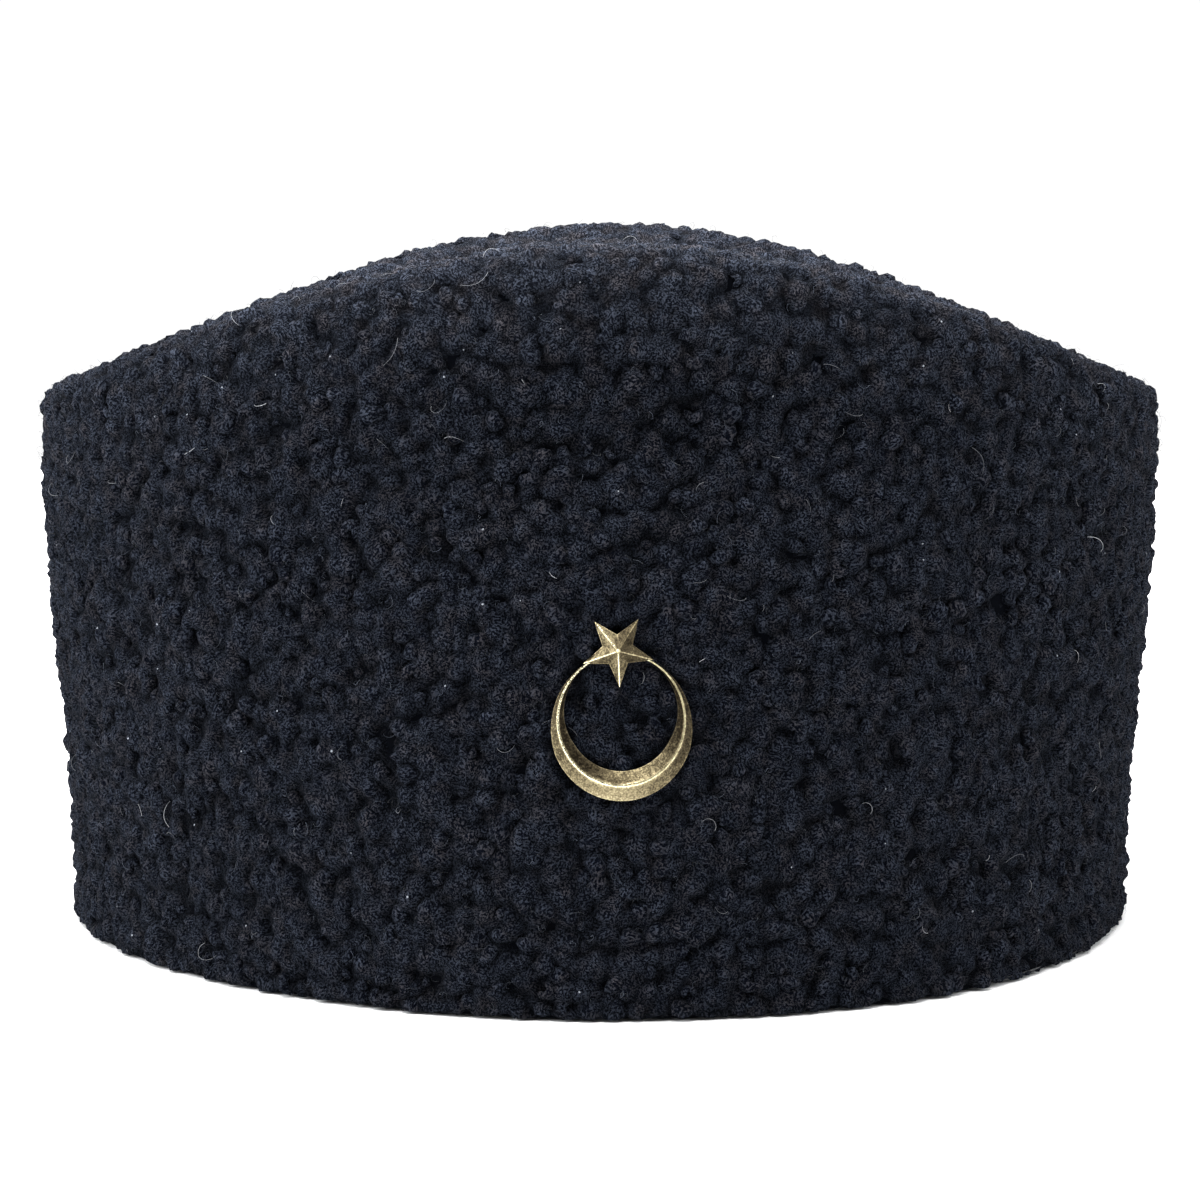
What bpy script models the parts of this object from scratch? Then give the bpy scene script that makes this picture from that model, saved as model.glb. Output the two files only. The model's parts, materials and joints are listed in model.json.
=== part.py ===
"""A kalpak: a tall cap of black curled fleece with an arched front, standing on its hem.

Two wall panels meet at seams on the left and right, a vaulted crown closes the top, and a brass
crescent and star sits low on the front, held by a wire staple through the wall. Units are metres,
+Z is up and the front faces -Y. The origin lies under the middle of the cap, on the surface that
it stands on. A place on the wall is given by its turn, the angle about +Z from +X, and by its
share of the wall's height at that turn.
"""

import math
from collections import namedtuple

import bmesh
import bpy
from mathutils import Vector

# Wall: the pile and its backing together.
WALL_THICKNESS = 0.0085
FRONT_HEIGHT = 0.1330  # top of the arch, at the front and at the back
SIDE_HEIGHT = 0.1045  # foot of the arch, at the side seams
ARCH_ROUNDNESS = 0.92  # share of the half width over which the arch bends, before its straight slopes
ARCH_LEAN = 0.0006  # how much the right shoulder stands above the left one, halved
LEAN_PEAK = 2.0 / math.sqrt(27.0)  # the greatest value of s - s^3
HEM_OUTER_ROUND = 0.0025
HEM_INNER_ROUND = 0.0015
RIM_OUTER_ROUND = 0.0055
RIM_INNER_ROUND = 0.0020
SEAM_GAP = 0.0003  # between neighbouring pieces

# Half widths and half depths of the wall's outside, from the hem up.
Section = namedtuple("Section", "share half_width half_depth")
WALL_SECTIONS = (
    Section(0.00, 0.1050, 0.0976),
    Section(0.28, 0.1057, 0.0961),
    Section(0.58, 0.1084, 0.0929),
    Section(0.86, 0.1098, 0.0885),
    Section(1.00, 0.1093, 0.0858),
)

# Soft hollows in the wall, and bulges where the depth is below 0. Turns and reaches are in degrees,
# and a reach is where a hollow has faded.
Hollow = namedtuple("Hollow", "turn share turn_reach share_reach depth")
WALL_HOLLOWS = (
    Hollow(-82, 0.76, 26, 0.15, 0.0030),  # under the front arch
    Hollow(-125, 0.05, 34, 0.40, 0.0018),  # left of the front, at the hem
    Hollow(-52, 0.05, 34, 0.40, -0.0018),  # right of the front, at the hem
    Hollow(-38, 0.38, 6, 0.34, 0.0013),  # upright fold at the right of the front
    Hollow(-142, 0.62, 9, 0.30, 0.0010),  # upright fold at the left of the front
    Hollow(98, 0.62, 30, 0.22, 0.0028),  # slack of the back panel
    Hollow(0, 0.50, 3, 0.90, 0.0010),  # right side seam
    Hollow(180, 0.50, 3, 0.90, 0.0010),  # left side seam
)

# Crown: an oval sewn inside the rim, vaulted from side to side like the arches, with a slack middle.
CROWN_THICKNESS = 0.0070
CROWN_BELOW_RIM = 0.0020
CROWN_EDGE_ROUND = 0.0010
CROWN_MEAN_RADIUS = 0.0900  # about half the crown's width and depth
CROWN_SAG = 0.0060

# Badge: a crescent with a ridge between its outer and inner slopes, and a star between its horns.
# The three circles share a vertical line, and the whole is stretched a little in height.
RIDGE_RADIUS = 0.0107
CRESCENT_OUTER_RADIUS = 0.0122
CRESCENT_OUTER_DROP = 0.00115  # how far the outer circle's centre lies below the ridge's
CRESCENT_INNER_RADIUS = 0.0094
CRESCENT_INNER_RISE = 0.00095  # how far the inner circle's centre lies above the ridge's
CRESCENT_STRETCH = 1.047
CRESCENT_REACH_DEG = 156  # from the lowest point to each horn's tip
CRESCENT_RIDGE_SLOPE = 0.62  # the ridge's height over half the crescent's width
HORN_START_DEG = 65  # from here to the end the horns grow thinner than the circles make them
HORN_END_DEG = 135
HORN_THINNING = 0.55
STAR_CENTRE_RISE = 0.0118  # above the ridge circle's centre
STAR_TIP_RADIUS = 0.0063
STAR_NOTCH_RADIUS = 0.0027
STAR_POINTS = 5
STAR_PEAK_HEIGHT = 0.0019  # above the rim
BADGE_RIM_THICKNESS = 0.0007
BADGE_X = 0.0036
BADGE_Z = 0.0527
BADGE_LEAN_DEG = 2.8  # the star leans to the left
BADGE_GAP = 0.0003

# Staple: one bent wire behind the badge, through two holes in the front panel.
STAPLE_WIRE_RADIUS = 0.0008
STAPLE_HOLE_CLEARANCE = 0.0003
STAPLE_BEND_RADIUS = 0.0016
STAPLE_BACK_GAP = 0.0004

# Facets.
PANEL_STEPS = 58
SIDE_STEPS = 9
ROUND_STEPS = 3
CROWN_RINGS = 7
CRESCENT_STEPS = 44
HOLE_SIDES = 12

FLEECE_BLACK = (0.012, 0.014, 0.020, 1.0)
CLOTH_BLACK = (0.010, 0.011, 0.015, 1.0)
ANTIQUE_BRASS = (0.52, 0.38, 0.16, 1.0)
WIRE_GREY = (0.45, 0.43, 0.40, 1.0)


def clear_scene():
    """Removes every object that the file holds."""
    for item in list(bpy.data.objects):
        bpy.data.objects.remove(item, do_unlink=True)


def material(name, colour, roughness, metallic=0.0):
    """A plain Principled material."""
    made = bpy.data.materials.new(name)
    made.use_nodes = True
    shader = made.node_tree.nodes["Principled BSDF"]
    shader.inputs["Base Color"].default_value = colour
    shader.inputs["Roughness"].default_value = roughness
    shader.inputs["Metallic"].default_value = metallic
    return made


def add_mesh(name, verts, faces, finish, smooth_deg=None):
    """Links a named object with this mesh, its faces turned outwards."""
    mesh = bpy.data.meshes.new(name)
    mesh.from_pydata([tuple(v) for v in verts], [], faces)
    shell = bmesh.new()
    shell.from_mesh(mesh)
    bmesh.ops.recalc_face_normals(shell, faces=shell.faces)
    shell.to_mesh(mesh)
    shell.free()
    mesh.materials.append(finish)
    if smooth_deg is not None:
        mesh.shade_smooth()
        mesh.set_sharp_from_angle(angle=math.radians(smooth_deg))
    made = bpy.data.objects.new(name, mesh)
    bpy.context.scene.collection.objects.link(made)
    return made


def fade(distance, reach):
    """1 at no distance, falling smoothly to nearly 0 at the reach."""
    return math.exp(-3.0 * (distance / reach) ** 2)


def arch_height(across):
    """Height of the arch at a place across the cap, from -1 at the left seam to 1 at the right."""
    def bend(s):
        return math.sqrt(1.0 + (s / ARCH_ROUNDNESS) ** 2) - 1.0

    lean = ARCH_LEAN * across * (1.0 - across**2) / LEAN_PEAK
    return FRONT_HEIGHT - (FRONT_HEIGHT - SIDE_HEIGHT) * bend(across) / bend(1.0) + lean


def section_at(share):
    """Half width and half depth at a share of the wall's height, on a smooth curve through the table."""
    rows = WALL_SECTIONS
    last = len(rows) - 1
    row = max(i for i in range(last) if share >= rows[i].share or i == 0)
    low, high = rows[row], rows[row + 1]
    span = high.share - low.share
    t = (share - low.share) / span

    def slope(i, column):
        before, after = rows[max(i - 1, 0)], rows[min(i + 1, last)]
        return (after[column] - before[column]) / (after.share - before.share)

    def value(column):
        rise = t * t * (3.0 - 2.0 * t)
        start = t * (1.0 - t) ** 2 * span * slope(row, column)
        end = t * t * (t - 1.0) * span * slope(row + 1, column)
        return low[column] + (high[column] - low[column]) * rise + start + end

    return value(1), value(2)


def hollow_depth(turn, share):
    """How far the wall is pushed in at a place."""
    depth = 0.0
    for row in WALL_HOLLOWS:
        off = (math.degrees(turn) - row.turn + 180.0) % 360.0 - 180.0
        depth += row.depth * fade(off, row.turn_reach) * fade(share - row.share, row.share_reach)
    return depth


def wall_point(turn, height, inset=0.0):
    """The point of the wall at a turn and height, this far inside its outer surface."""
    share = height / arch_height(math.cos(turn))
    half_width, half_depth = section_at(share)
    back = inset + hollow_depth(turn, share)
    return Vector(((half_width - back) * math.cos(turn), (half_depth - back) * math.sin(turn), height))


def wall_normal(turn, height):
    """The wall's outward direction."""
    small_turn, small_height = 0.01, 0.0005
    along = wall_point(turn + small_turn, height) - wall_point(turn - small_turn, height)
    up = wall_point(turn, height + small_height) - wall_point(turn, height - small_height)
    return along.cross(up).normalized()


def arc(centre_inset, centre_height, radius, start_deg, end_deg):
    """Points (inset, height) on a round edge, without its first point."""
    points = []
    for step in range(1, ROUND_STEPS + 1):
        angle = math.radians(start_deg + (end_deg - start_deg) * step / ROUND_STEPS)
        points.append((centre_inset - radius * math.cos(angle), centre_height + radius * math.sin(angle)))
    return points


def straight(inset, start_height, end_height):
    """Points (inset, height) along the wall's side, without the two ends."""
    steps = range(1, SIDE_STEPS)
    return [(inset, start_height + (end_height - start_height) * s / SIDE_STEPS) for s in steps]


def wall_profile(height):
    """The wall cut across: (inset, height) from the flat foot up the outside, over the rim and down."""
    thick = WALL_THICKNESS
    foot_inner = thick - HEM_INNER_ROUND
    rim_low = height - RIM_OUTER_ROUND
    inner_top = height - RIM_INNER_ROUND
    points = [(foot_inner, 0.0), (HEM_OUTER_ROUND, 0.0)]
    points += arc(HEM_OUTER_ROUND, HEM_OUTER_ROUND, HEM_OUTER_ROUND, -90, 0)
    points += straight(0.0, HEM_OUTER_ROUND, rim_low)
    points += [(0.0, rim_low)]
    points += arc(RIM_OUTER_ROUND, rim_low, RIM_OUTER_ROUND, 0, 90)
    points += arc(RIM_OUTER_ROUND, inner_top, RIM_INNER_ROUND, 90, 180)
    points += straight(thick, inner_top, HEM_INNER_ROUND)
    points += [(thick, HEM_INNER_ROUND)]
    points += arc(foot_inner, HEM_INNER_ROUND, HEM_INNER_ROUND, 180, 270)[:-1]
    return points


def panel(name, start_deg, end_deg, finish):
    """Half of the wall, from seam to seam."""
    half_gap = SEAM_GAP / 2.0 / WALL_SECTIONS[0].half_depth
    start, end = math.radians(start_deg) + half_gap, math.radians(end_deg) - half_gap
    verts, faces = [], []
    for step in range(PANEL_STEPS + 1):
        turn = start + (end - start) * step / PANEL_STEPS
        profile = wall_profile(arch_height(math.cos(turn)))
        verts += [wall_point(turn, height, inset) for inset, height in profile]
    count = len(verts) // (PANEL_STEPS + 1)
    for step in range(PANEL_STEPS):
        for i in range(count):
            a, b = step * count + i, step * count + (i + 1) % count
            faces.append((a, b, b + count, a + count))
    faces.append(tuple(range(count)))
    faces.append(tuple(range(PANEL_STEPS * count, (PANEL_STEPS + 1) * count)))
    return add_mesh(name, verts, faces, finish, smooth_deg=40)


def crown_point(turn, reach, drop):
    """A point of the crown: reach is 1 at its edge and 0 in the middle, drop is below its upper side."""
    edge_height = arch_height(math.cos(turn)) - CROWN_BELOW_RIM - drop
    edge = wall_point(turn, edge_height, WALL_THICKNESS + SEAM_GAP)
    sag = CROWN_SAG * (1.0 - reach**2) ** 1.5
    height = arch_height(reach * math.cos(turn)) - CROWN_BELOW_RIM - drop - sag
    return Vector((edge.x * reach, edge.y * reach, height))


def crown(name, finish):
    """The vaulted top, a closed oval plate that fills the rim."""
    turns = [2.0 * math.pi * i / (2 * PANEL_STEPS) for i in range(2 * PANEL_STEPS)]
    reaches = [1.0 - (ring / CROWN_RINGS) for ring in range(CROWN_RINGS)]
    upper = [(1.0, CROWN_EDGE_ROUND), (1.0 - CROWN_EDGE_ROUND / CROWN_MEAN_RADIUS, 0.0)]
    upper += [(reach, 0.0) for reach in reaches[1:]]
    lower = [(reach, CROWN_THICKNESS) for reach in reversed(reaches)]
    loops = [[crown_point(turn, reach, drop) for turn in turns] for reach, drop in upper + lower]
    loops = loops[len(upper):] + loops[:len(upper)]
    verts = [point for loop in loops for point in loop]
    count = len(turns)
    faces = []
    for ring in range(len(loops) - 1):
        for i in range(count):
            j = (i + 1) % count
            faces.append((ring * count + i, ring * count + j, (ring + 1) * count + j, (ring + 1) * count + i))
    for first, drop in ((0, CROWN_THICKNESS), ((len(loops) - 1) * count, 0.0)):
        middle = len(verts)
        verts.append(crown_point(0.0, 0.0, drop))
        faces += [(first + i, first + (i + 1) % count, middle) for i in range(count)]
    return add_mesh(name, verts, faces, finish, smooth_deg=50)


def on_front(right, up, out):
    """Places a point of the flat badge on the front, leaning and wrapped to the wall."""
    lean = math.radians(BADGE_LEAN_DEG)
    x = BADGE_X + right * math.cos(lean) - up * math.sin(lean)
    z = BADGE_Z + right * math.sin(lean) + up * math.cos(lean)
    half_width, _ = section_at(z / FRONT_HEIGHT)
    turn = -math.acos(x / half_width)
    return wall_point(turn, z) + wall_normal(turn, z) * out


def reach_on_circle(way, radius, centre_rise):
    """How far a ray from the badge's centre goes to a circle whose centre lies this much higher."""
    along = way.y * centre_rise
    return along + math.sqrt(radius**2 - centre_rise**2 + along**2)


def crescent_section(angle):
    """The crescent's outer edge, ridge and inner edge at an angle from its lowest point."""
    way = Vector((math.sin(angle), -math.cos(angle)))
    past = (abs(math.degrees(angle)) - HORN_START_DEG) / (HORN_END_DEG - HORN_START_DEG)
    thin = 1.0 - HORN_THINNING * min(max(past, 0.0), 1.0)
    outer = reach_on_circle(way, CRESCENT_OUTER_RADIUS, -CRESCENT_OUTER_DROP)
    inner = reach_on_circle(way, CRESCENT_INNER_RADIUS, CRESCENT_INNER_RISE)
    reaches = [RIDGE_RADIUS + (reach - RIDGE_RADIUS) * thin for reach in (outer, RIDGE_RADIUS, inner)]
    return [Vector((way.x * reach, way.y * reach * CRESCENT_STRETCH)) for reach in reaches]


def crescent(finish):
    """The crescent: five points to a section, its ridge between its two edges."""
    rows = []
    for step in range(CRESCENT_STEPS + 1):
        angle = math.radians(CRESCENT_REACH_DEG) * (2.0 * step / CRESCENT_STEPS - 1.0)
        outer, ridge, inner = crescent_section(angle)
        crest = BADGE_RIM_THICKNESS + CRESCENT_RIDGE_SLOPE * (outer - inner).length / 2.0
        rows.append([
            (*outer, 0.0), (*outer, BADGE_RIM_THICKNESS), (*ridge, crest),
            (*inner, BADGE_RIM_THICKNESS), (*inner, 0.0),
        ])
    verts = [on_front(r, u, w + BADGE_GAP) for row in rows for r, u, w in row]
    count = len(rows[0])
    faces = []
    for step in range(CRESCENT_STEPS):
        for i in range(count):
            a, b = step * count + i, step * count + (i + 1) % count
            faces.append((a, b, b + count, a + count))
    faces.append(tuple(range(count)))
    faces.append(tuple(range(CRESCENT_STEPS * count, (CRESCENT_STEPS + 1) * count)))
    return add_mesh("badge", verts, faces, finish)


def star(finish):
    """The star, one point down, each arm with a ridge from the peak to its tip."""
    outline = []
    for i in range(2 * STAR_POINTS):
        angle = -math.pi / 2.0 + math.pi * i / STAR_POINTS
        radius = STAR_TIP_RADIUS if i % 2 == 0 else STAR_NOTCH_RADIUS
        outline.append((radius * math.cos(angle), STAR_CENTRE_RISE + radius * math.sin(angle)))
    count = len(outline)
    points = [(r, u, 0.0) for r, u in outline] + [(r, u, BADGE_RIM_THICKNESS) for r, u in outline]
    points += [(0.0, STAR_CENTRE_RISE, 0.0), (0.0, STAR_CENTRE_RISE, BADGE_RIM_THICKNESS + STAR_PEAK_HEIGHT)]
    verts = [on_front(r, u, w + BADGE_GAP) for r, u, w in points]
    faces = []
    for i in range(count):
        j = (i + 1) % count
        faces += [(i, j, count + j, count + i), (j, i, 2 * count), (count + i, count + j, 2 * count + 1)]
    return add_mesh("star_arms", verts, faces, finish)


def combine(target, other, operation):
    """Adds a Boolean modifier and puts the other object out of sight, as a guide."""
    modifier = target.modifiers.new(operation.lower(), "BOOLEAN")
    modifier.operation = operation
    modifier.object = other
    modifier.solver = "EXACT"
    other.hide_render = True
    other.display_type = "WIRE"


def staple_legs():
    """Where the two legs pass through the wall: behind the star and behind the crescent's foot."""
    return (STAR_CENTRE_RISE, crescent_section(0.0)[1].y)


def staple_path():
    """The wire's centreline: in through the wall, down its inner side and out again."""
    depth = WALL_THICKNESS + STAPLE_BACK_GAP + STAPLE_WIRE_RADIUS
    top, low = staple_legs()
    bend = STAPLE_BEND_RADIUS
    path = [(top, 0.0)]
    for centre, start_deg, end_deg in ((top - bend, 0, 90), (low + bend, 90, 180)):
        for step in range(ROUND_STEPS + 1):
            angle = math.radians(start_deg + (end_deg - start_deg) * step / ROUND_STEPS)
            path.append((centre + bend * math.cos(angle), depth - bend + bend * math.sin(angle)))
    path.append((low, 0.0))
    return [on_front(0.0, up, -inside) for up, inside in path]


def staple(name, finish):
    """The bent wire, as a curve with round section and closed ends."""
    curve = bpy.data.curves.new(name, "CURVE")
    curve.dimensions = "3D"
    curve.bevel_depth = STAPLE_WIRE_RADIUS
    curve.bevel_resolution = 2
    curve.use_fill_caps = True
    points = staple_path()
    spline = curve.splines.new("POLY")
    spline.points.add(len(points) - 1)
    for slot, point in zip(spline.points, points):
        slot.co = (*point, 1.0)
    curve.materials.append(finish)
    made = bpy.data.objects.new(name, curve)
    bpy.context.scene.collection.objects.link(made)
    return made


def staple_hole(name, up, finish):
    """A round cutter through the wall for one leg."""
    radius = STAPLE_WIRE_RADIUS + STAPLE_HOLE_CLEARANCE
    beyond = WALL_THICKNESS / 2.0
    start, end = on_front(0.0, up, beyond), on_front(0.0, up, -WALL_THICKNESS - beyond)
    way = (end - start).normalized()
    side = way.cross(Vector((0.0, 0.0, 1.0))).normalized()
    other = way.cross(side)
    verts, faces = [], []
    for centre in (start, end):
        for i in range(HOLE_SIDES):
            angle = 2.0 * math.pi * i / HOLE_SIDES
            verts.append(centre + (side * math.cos(angle) + other * math.sin(angle)) * radius)
    for i in range(HOLE_SIDES):
        j = (i + 1) % HOLE_SIDES
        faces.append((i, j, HOLE_SIDES + j, HOLE_SIDES + i))
    faces.append(tuple(range(HOLE_SIDES)))
    faces.append(tuple(range(HOLE_SIDES, 2 * HOLE_SIDES)))
    return add_mesh(name, verts, faces, finish)


def build():
    """Makes the whole cap."""
    clear_scene()
    fleece = material("fleece", FLEECE_BLACK, 0.95)
    crown_fleece = material("crown_fleece", CLOTH_BLACK, 0.95)
    brass = material("brass", ANTIQUE_BRASS, 0.38, 1.0)
    wire = material("wire", WIRE_GREY, 0.35, 1.0)

    front = panel("front_panel", -180, 0, fleece)
    panel("back_panel", 0, 180, fleece)
    crown("crown", crown_fleece)

    badge = crescent(brass)
    combine(badge, star(brass), "UNION")
    staple("badge_staple", wire)
    for number, up in enumerate(staple_legs(), 1):
        combine(front, staple_hole(f"leg_hole_{number}", up, wire), "DIFFERENCE")


build()
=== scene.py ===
# %% [markdown]
# # A kalpak of black curled fleece
#
# A kalpak is a tall cap of curled lambskin. This one stands on its hem, with an arched front and
# back, a vaulted crown and a small brass crescent and star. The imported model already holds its
# real shape and size, as smooth walls. This lesson gives the walls their look. The wool is made of
# thousands of small curls, because a picture of wool on a smooth wall would show at its outline.
#
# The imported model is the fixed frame: nothing in it is moved, and every new piece is placed by
# what the frame says.

# %% Load the frame
import json
import math
import random

import bmesh
import bpy
import numpy as np
from mathutils import Matrix, Vector
from mathutils.kdtree import KDTree

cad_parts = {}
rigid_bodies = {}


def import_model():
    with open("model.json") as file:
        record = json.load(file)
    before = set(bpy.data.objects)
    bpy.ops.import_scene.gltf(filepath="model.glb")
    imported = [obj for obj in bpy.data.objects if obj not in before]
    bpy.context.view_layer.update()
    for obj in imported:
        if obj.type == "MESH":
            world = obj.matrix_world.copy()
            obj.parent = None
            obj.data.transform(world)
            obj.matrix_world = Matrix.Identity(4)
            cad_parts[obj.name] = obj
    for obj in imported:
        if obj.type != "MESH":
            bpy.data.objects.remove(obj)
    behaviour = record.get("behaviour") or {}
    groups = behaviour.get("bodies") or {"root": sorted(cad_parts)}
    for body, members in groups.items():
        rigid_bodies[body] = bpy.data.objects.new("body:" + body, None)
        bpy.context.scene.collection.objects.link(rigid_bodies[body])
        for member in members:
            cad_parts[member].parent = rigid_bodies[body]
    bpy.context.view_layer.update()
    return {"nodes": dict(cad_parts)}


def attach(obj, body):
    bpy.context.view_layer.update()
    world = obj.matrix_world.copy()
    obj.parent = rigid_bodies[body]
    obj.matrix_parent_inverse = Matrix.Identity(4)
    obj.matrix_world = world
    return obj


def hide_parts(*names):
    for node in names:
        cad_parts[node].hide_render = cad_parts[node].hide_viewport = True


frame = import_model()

# %% [markdown]
# ## Writing node trees as sums
#
# Both the materials and the scattering of curls are node trees. A tree is easier to read as
# Python than as a list of links, so a small class wraps a socket and turns +, -, * and / into Math
# nodes. A second one adds any other node: its settings first, then the values of its sockets.

# %% Wrap a socket
class Wire:
    """One output socket, on which arithmetic adds Math nodes."""

    def __init__(self, bench, socket):
        self.bench = bench
        self.socket = socket

    def math(self, operation, *others):
        """A Math node on this socket and the others."""
        values = dict(enumerate((self, *others)))
        return self.bench.add("ShaderNodeMath", {"operation": operation}, values)

    def side(self, name):
        """Another output of the node that this socket belongs to."""
        return Wire(self.bench, self.socket.node.outputs[name])

    def __add__(self, other):
        return self.math("ADD", other)

    __radd__ = __add__

    def __sub__(self, other):
        return self.math("SUBTRACT", other)

    def __rsub__(self, other):
        return (self * -1.0).math("ADD", other)

    def __mul__(self, other):
        return self.math("MULTIPLY", other)

    __rmul__ = __mul__

    def __truediv__(self, other):
        return self.math("DIVIDE", other)

    def __rtruediv__(self, other):
        return self.bench.add("ShaderNodeMath", {"operation": "DIVIDE"}, {0: other, 1: self})

    def __pow__(self, other):
        return self.math("POWER", other)

    def kept_in(self, low, high):
        """The value, held between two numbers."""
        return self.math("MAXIMUM", low).math("MINIMUM", high)


class Bench:
    """A node tree that is being built."""

    def __init__(self, tree):
        self.tree = tree

    def add(self, kind, settings=None, values=None, out=0):
        """Adds a node and returns the output named by out, or the first one."""
        node = self.tree.nodes.new(kind)
        for name, value in (settings or {}).items():
            if name == "stops":
                for spare in list(node.color_ramp.elements)[1:]:
                    node.color_ramp.elements.remove(spare)
                for number, (place, colour) in enumerate(value):
                    ramp = node.color_ramp.elements
                    stop = ramp[0] if number == 0 else ramp.new(place)
                    stop.position, stop.color = place, (*colour, 1.0)
            else:
                setattr(node, name, value)
        for name, value in (values or {}).items():
            self.join(value, node.inputs[name])
        return Wire(self, node.outputs[out]) if len(node.outputs) else None

    def join(self, value, socket):
        """Links a wire to a socket, or sets the socket's own value."""
        if isinstance(value, Wire):
            self.tree.links.new(value.socket, socket)
        else:
            socket.default_value = value


# %% [markdown]
# ## Wool, cloth and brass
#
# Wool is dark because light is lost between its fibres, and the shade deep between them is painted
# into its colour: a curl is darkest at its root, and what brightness it has is on the tips. Its pieces
# carry values of their own. The tone differs from curl to curl. The tip value runs from 0 at a curl's
# root to 1 at its top, and sets that painted shade. The rim value grows towards the rim, where the
# curls are brushed lower and a painted sheen makes the tips glint more and the wool paler. The lock
# is a place in millimetres, counted inside each curl so that the fibre lines turn with it, and the
# drift shifts it, so that curls of one pattern differ. The ridges of one noise make the fibres and a
# finer noise makes the grain, in the colour and in the bump; in the colour their bright parts are
# pale fibres and painted glints.

# %% Start a material
def new_material(name, **sockets):
    """A Principled material with constants on its own sockets, and the bench for its tree."""
    made = bpy.data.materials.new(name)
    made.use_nodes = True
    shader = made.node_tree.nodes["Principled BSDF"]
    for label, value in sockets.items():
        shader.inputs[label.replace("_", " ")].default_value = value
    return made, Bench(made.node_tree), shader


def attribute(bench, name, out="Fac"):
    """A value that the mesh carries."""
    return bench.add("ShaderNodeAttribute", {"attribute_name": name}, out=out)


def mix_colours(bench, share, first, second):
    """A blend of two colours."""
    settings = {"data_type": "RGBA"}
    colours = [c if isinstance(c, Wire) else (*c, 1.0) for c in (first, second)]
    return bench.add("ShaderNodeMix", settings, {"Factor": share, 6: colours[0], 7: colours[1]}, out=2)


def noise(bench, place, scale, detail, out=0, **sockets):
    """A noise texture. With a place in metres the scale is in cells per metre."""
    values = {"Vector": place, "Scale": scale, "Detail": detail, **sockets}
    return bench.add("ShaderNodeTexNoise", values=values, out=out)


def split(bench, vector, axis):
    """One coordinate of a vector. The others are its sides."""
    return bench.add("ShaderNodeSeparateXYZ", values={0: vector}, out=axis)


def vector_math(bench, operation, first, second):
    """Maths on two vectors."""
    return bench.add("ShaderNodeVectorMath", {"operation": operation}, {0: first, 1: second})


# %% Wool
# The shade colour is painted shade, at the roots and in the creases.
WOOL_SHADE = (0.0003, 0.0005, 0.0012)
WOOL_BODY = (0.0011, 0.0017, 0.0042)
WOOL_TIP_COOL = (0.098, 0.114, 0.156)
WOOL_TIP_WARM = (0.119, 0.113, 0.128)
FIBRES_PER_MM = 2.0  # noise cells; a ridge runs where the noise passes its middle
FIBRE_SHARPNESS = 9.0
FIBRE_GLINT = 0.46
GRAIN_PER_MM = 3.2
GRAIN_CUT = 0.46  # noise above this is painted as a glint
GRAIN_CONTRAST = 6.6
LUMPS_PER_MM = 0.8
TIP_GAIN, ROOT_LIGHT = 0.84, 0.17
TONE_GAIN, TONE_LIGHT = 0.40, 0.57
BRIGHTNESS = 0.40
RIM_SHEEN_GAIN, RIM_SHEEN_PALENESS = 1.1, 0.060  # painted sheen near the rim: how much more a tip glints there, and how much paler the wool is all over
PATCHES_PER_METRE = 260.0  # of warmer wool
WOOL_BUMP = 0.0006


def wool_bumps(bench, place, fibre, grain):
    """The fine relief of a curl: its fibres, its grain and slow lumps."""
    lumps = noise(bench, place, LUMPS_PER_MM, 1.0)
    return bench.add("ShaderNodeBump", values={
        "Height": fibre * 0.35 + grain * 1.5 + lumps * 1.0, "Strength": 1.0, "Distance": WOOL_BUMP})


# %% Pale specks in the wool, painted glints
SPECK = (0.30, 0.32, 0.36)
SPECKS_PER_METRE = 300.0
SPECK_RADIUS = 0.058  # of a noise cell
SPECKLESS = 0.93  # share of the cells that have no speck


def with_specks(bench, coloured, place):
    """The wool's colour with a pale dot, a painted glint, in a few cells."""
    cell = bench.add("ShaderNodeTexVoronoi", {"feature": "F1"}, {
        "Vector": place, "Scale": SPECKS_PER_METRE}, out="Distance")
    lot = split(bench, cell.side("Color"), "X")
    speck = cell.math("LESS_THAN", SPECK_RADIUS) * lot.math("GREATER_THAN", SPECKLESS)
    return mix_colours(bench, speck, coloured, SPECK)


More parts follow.
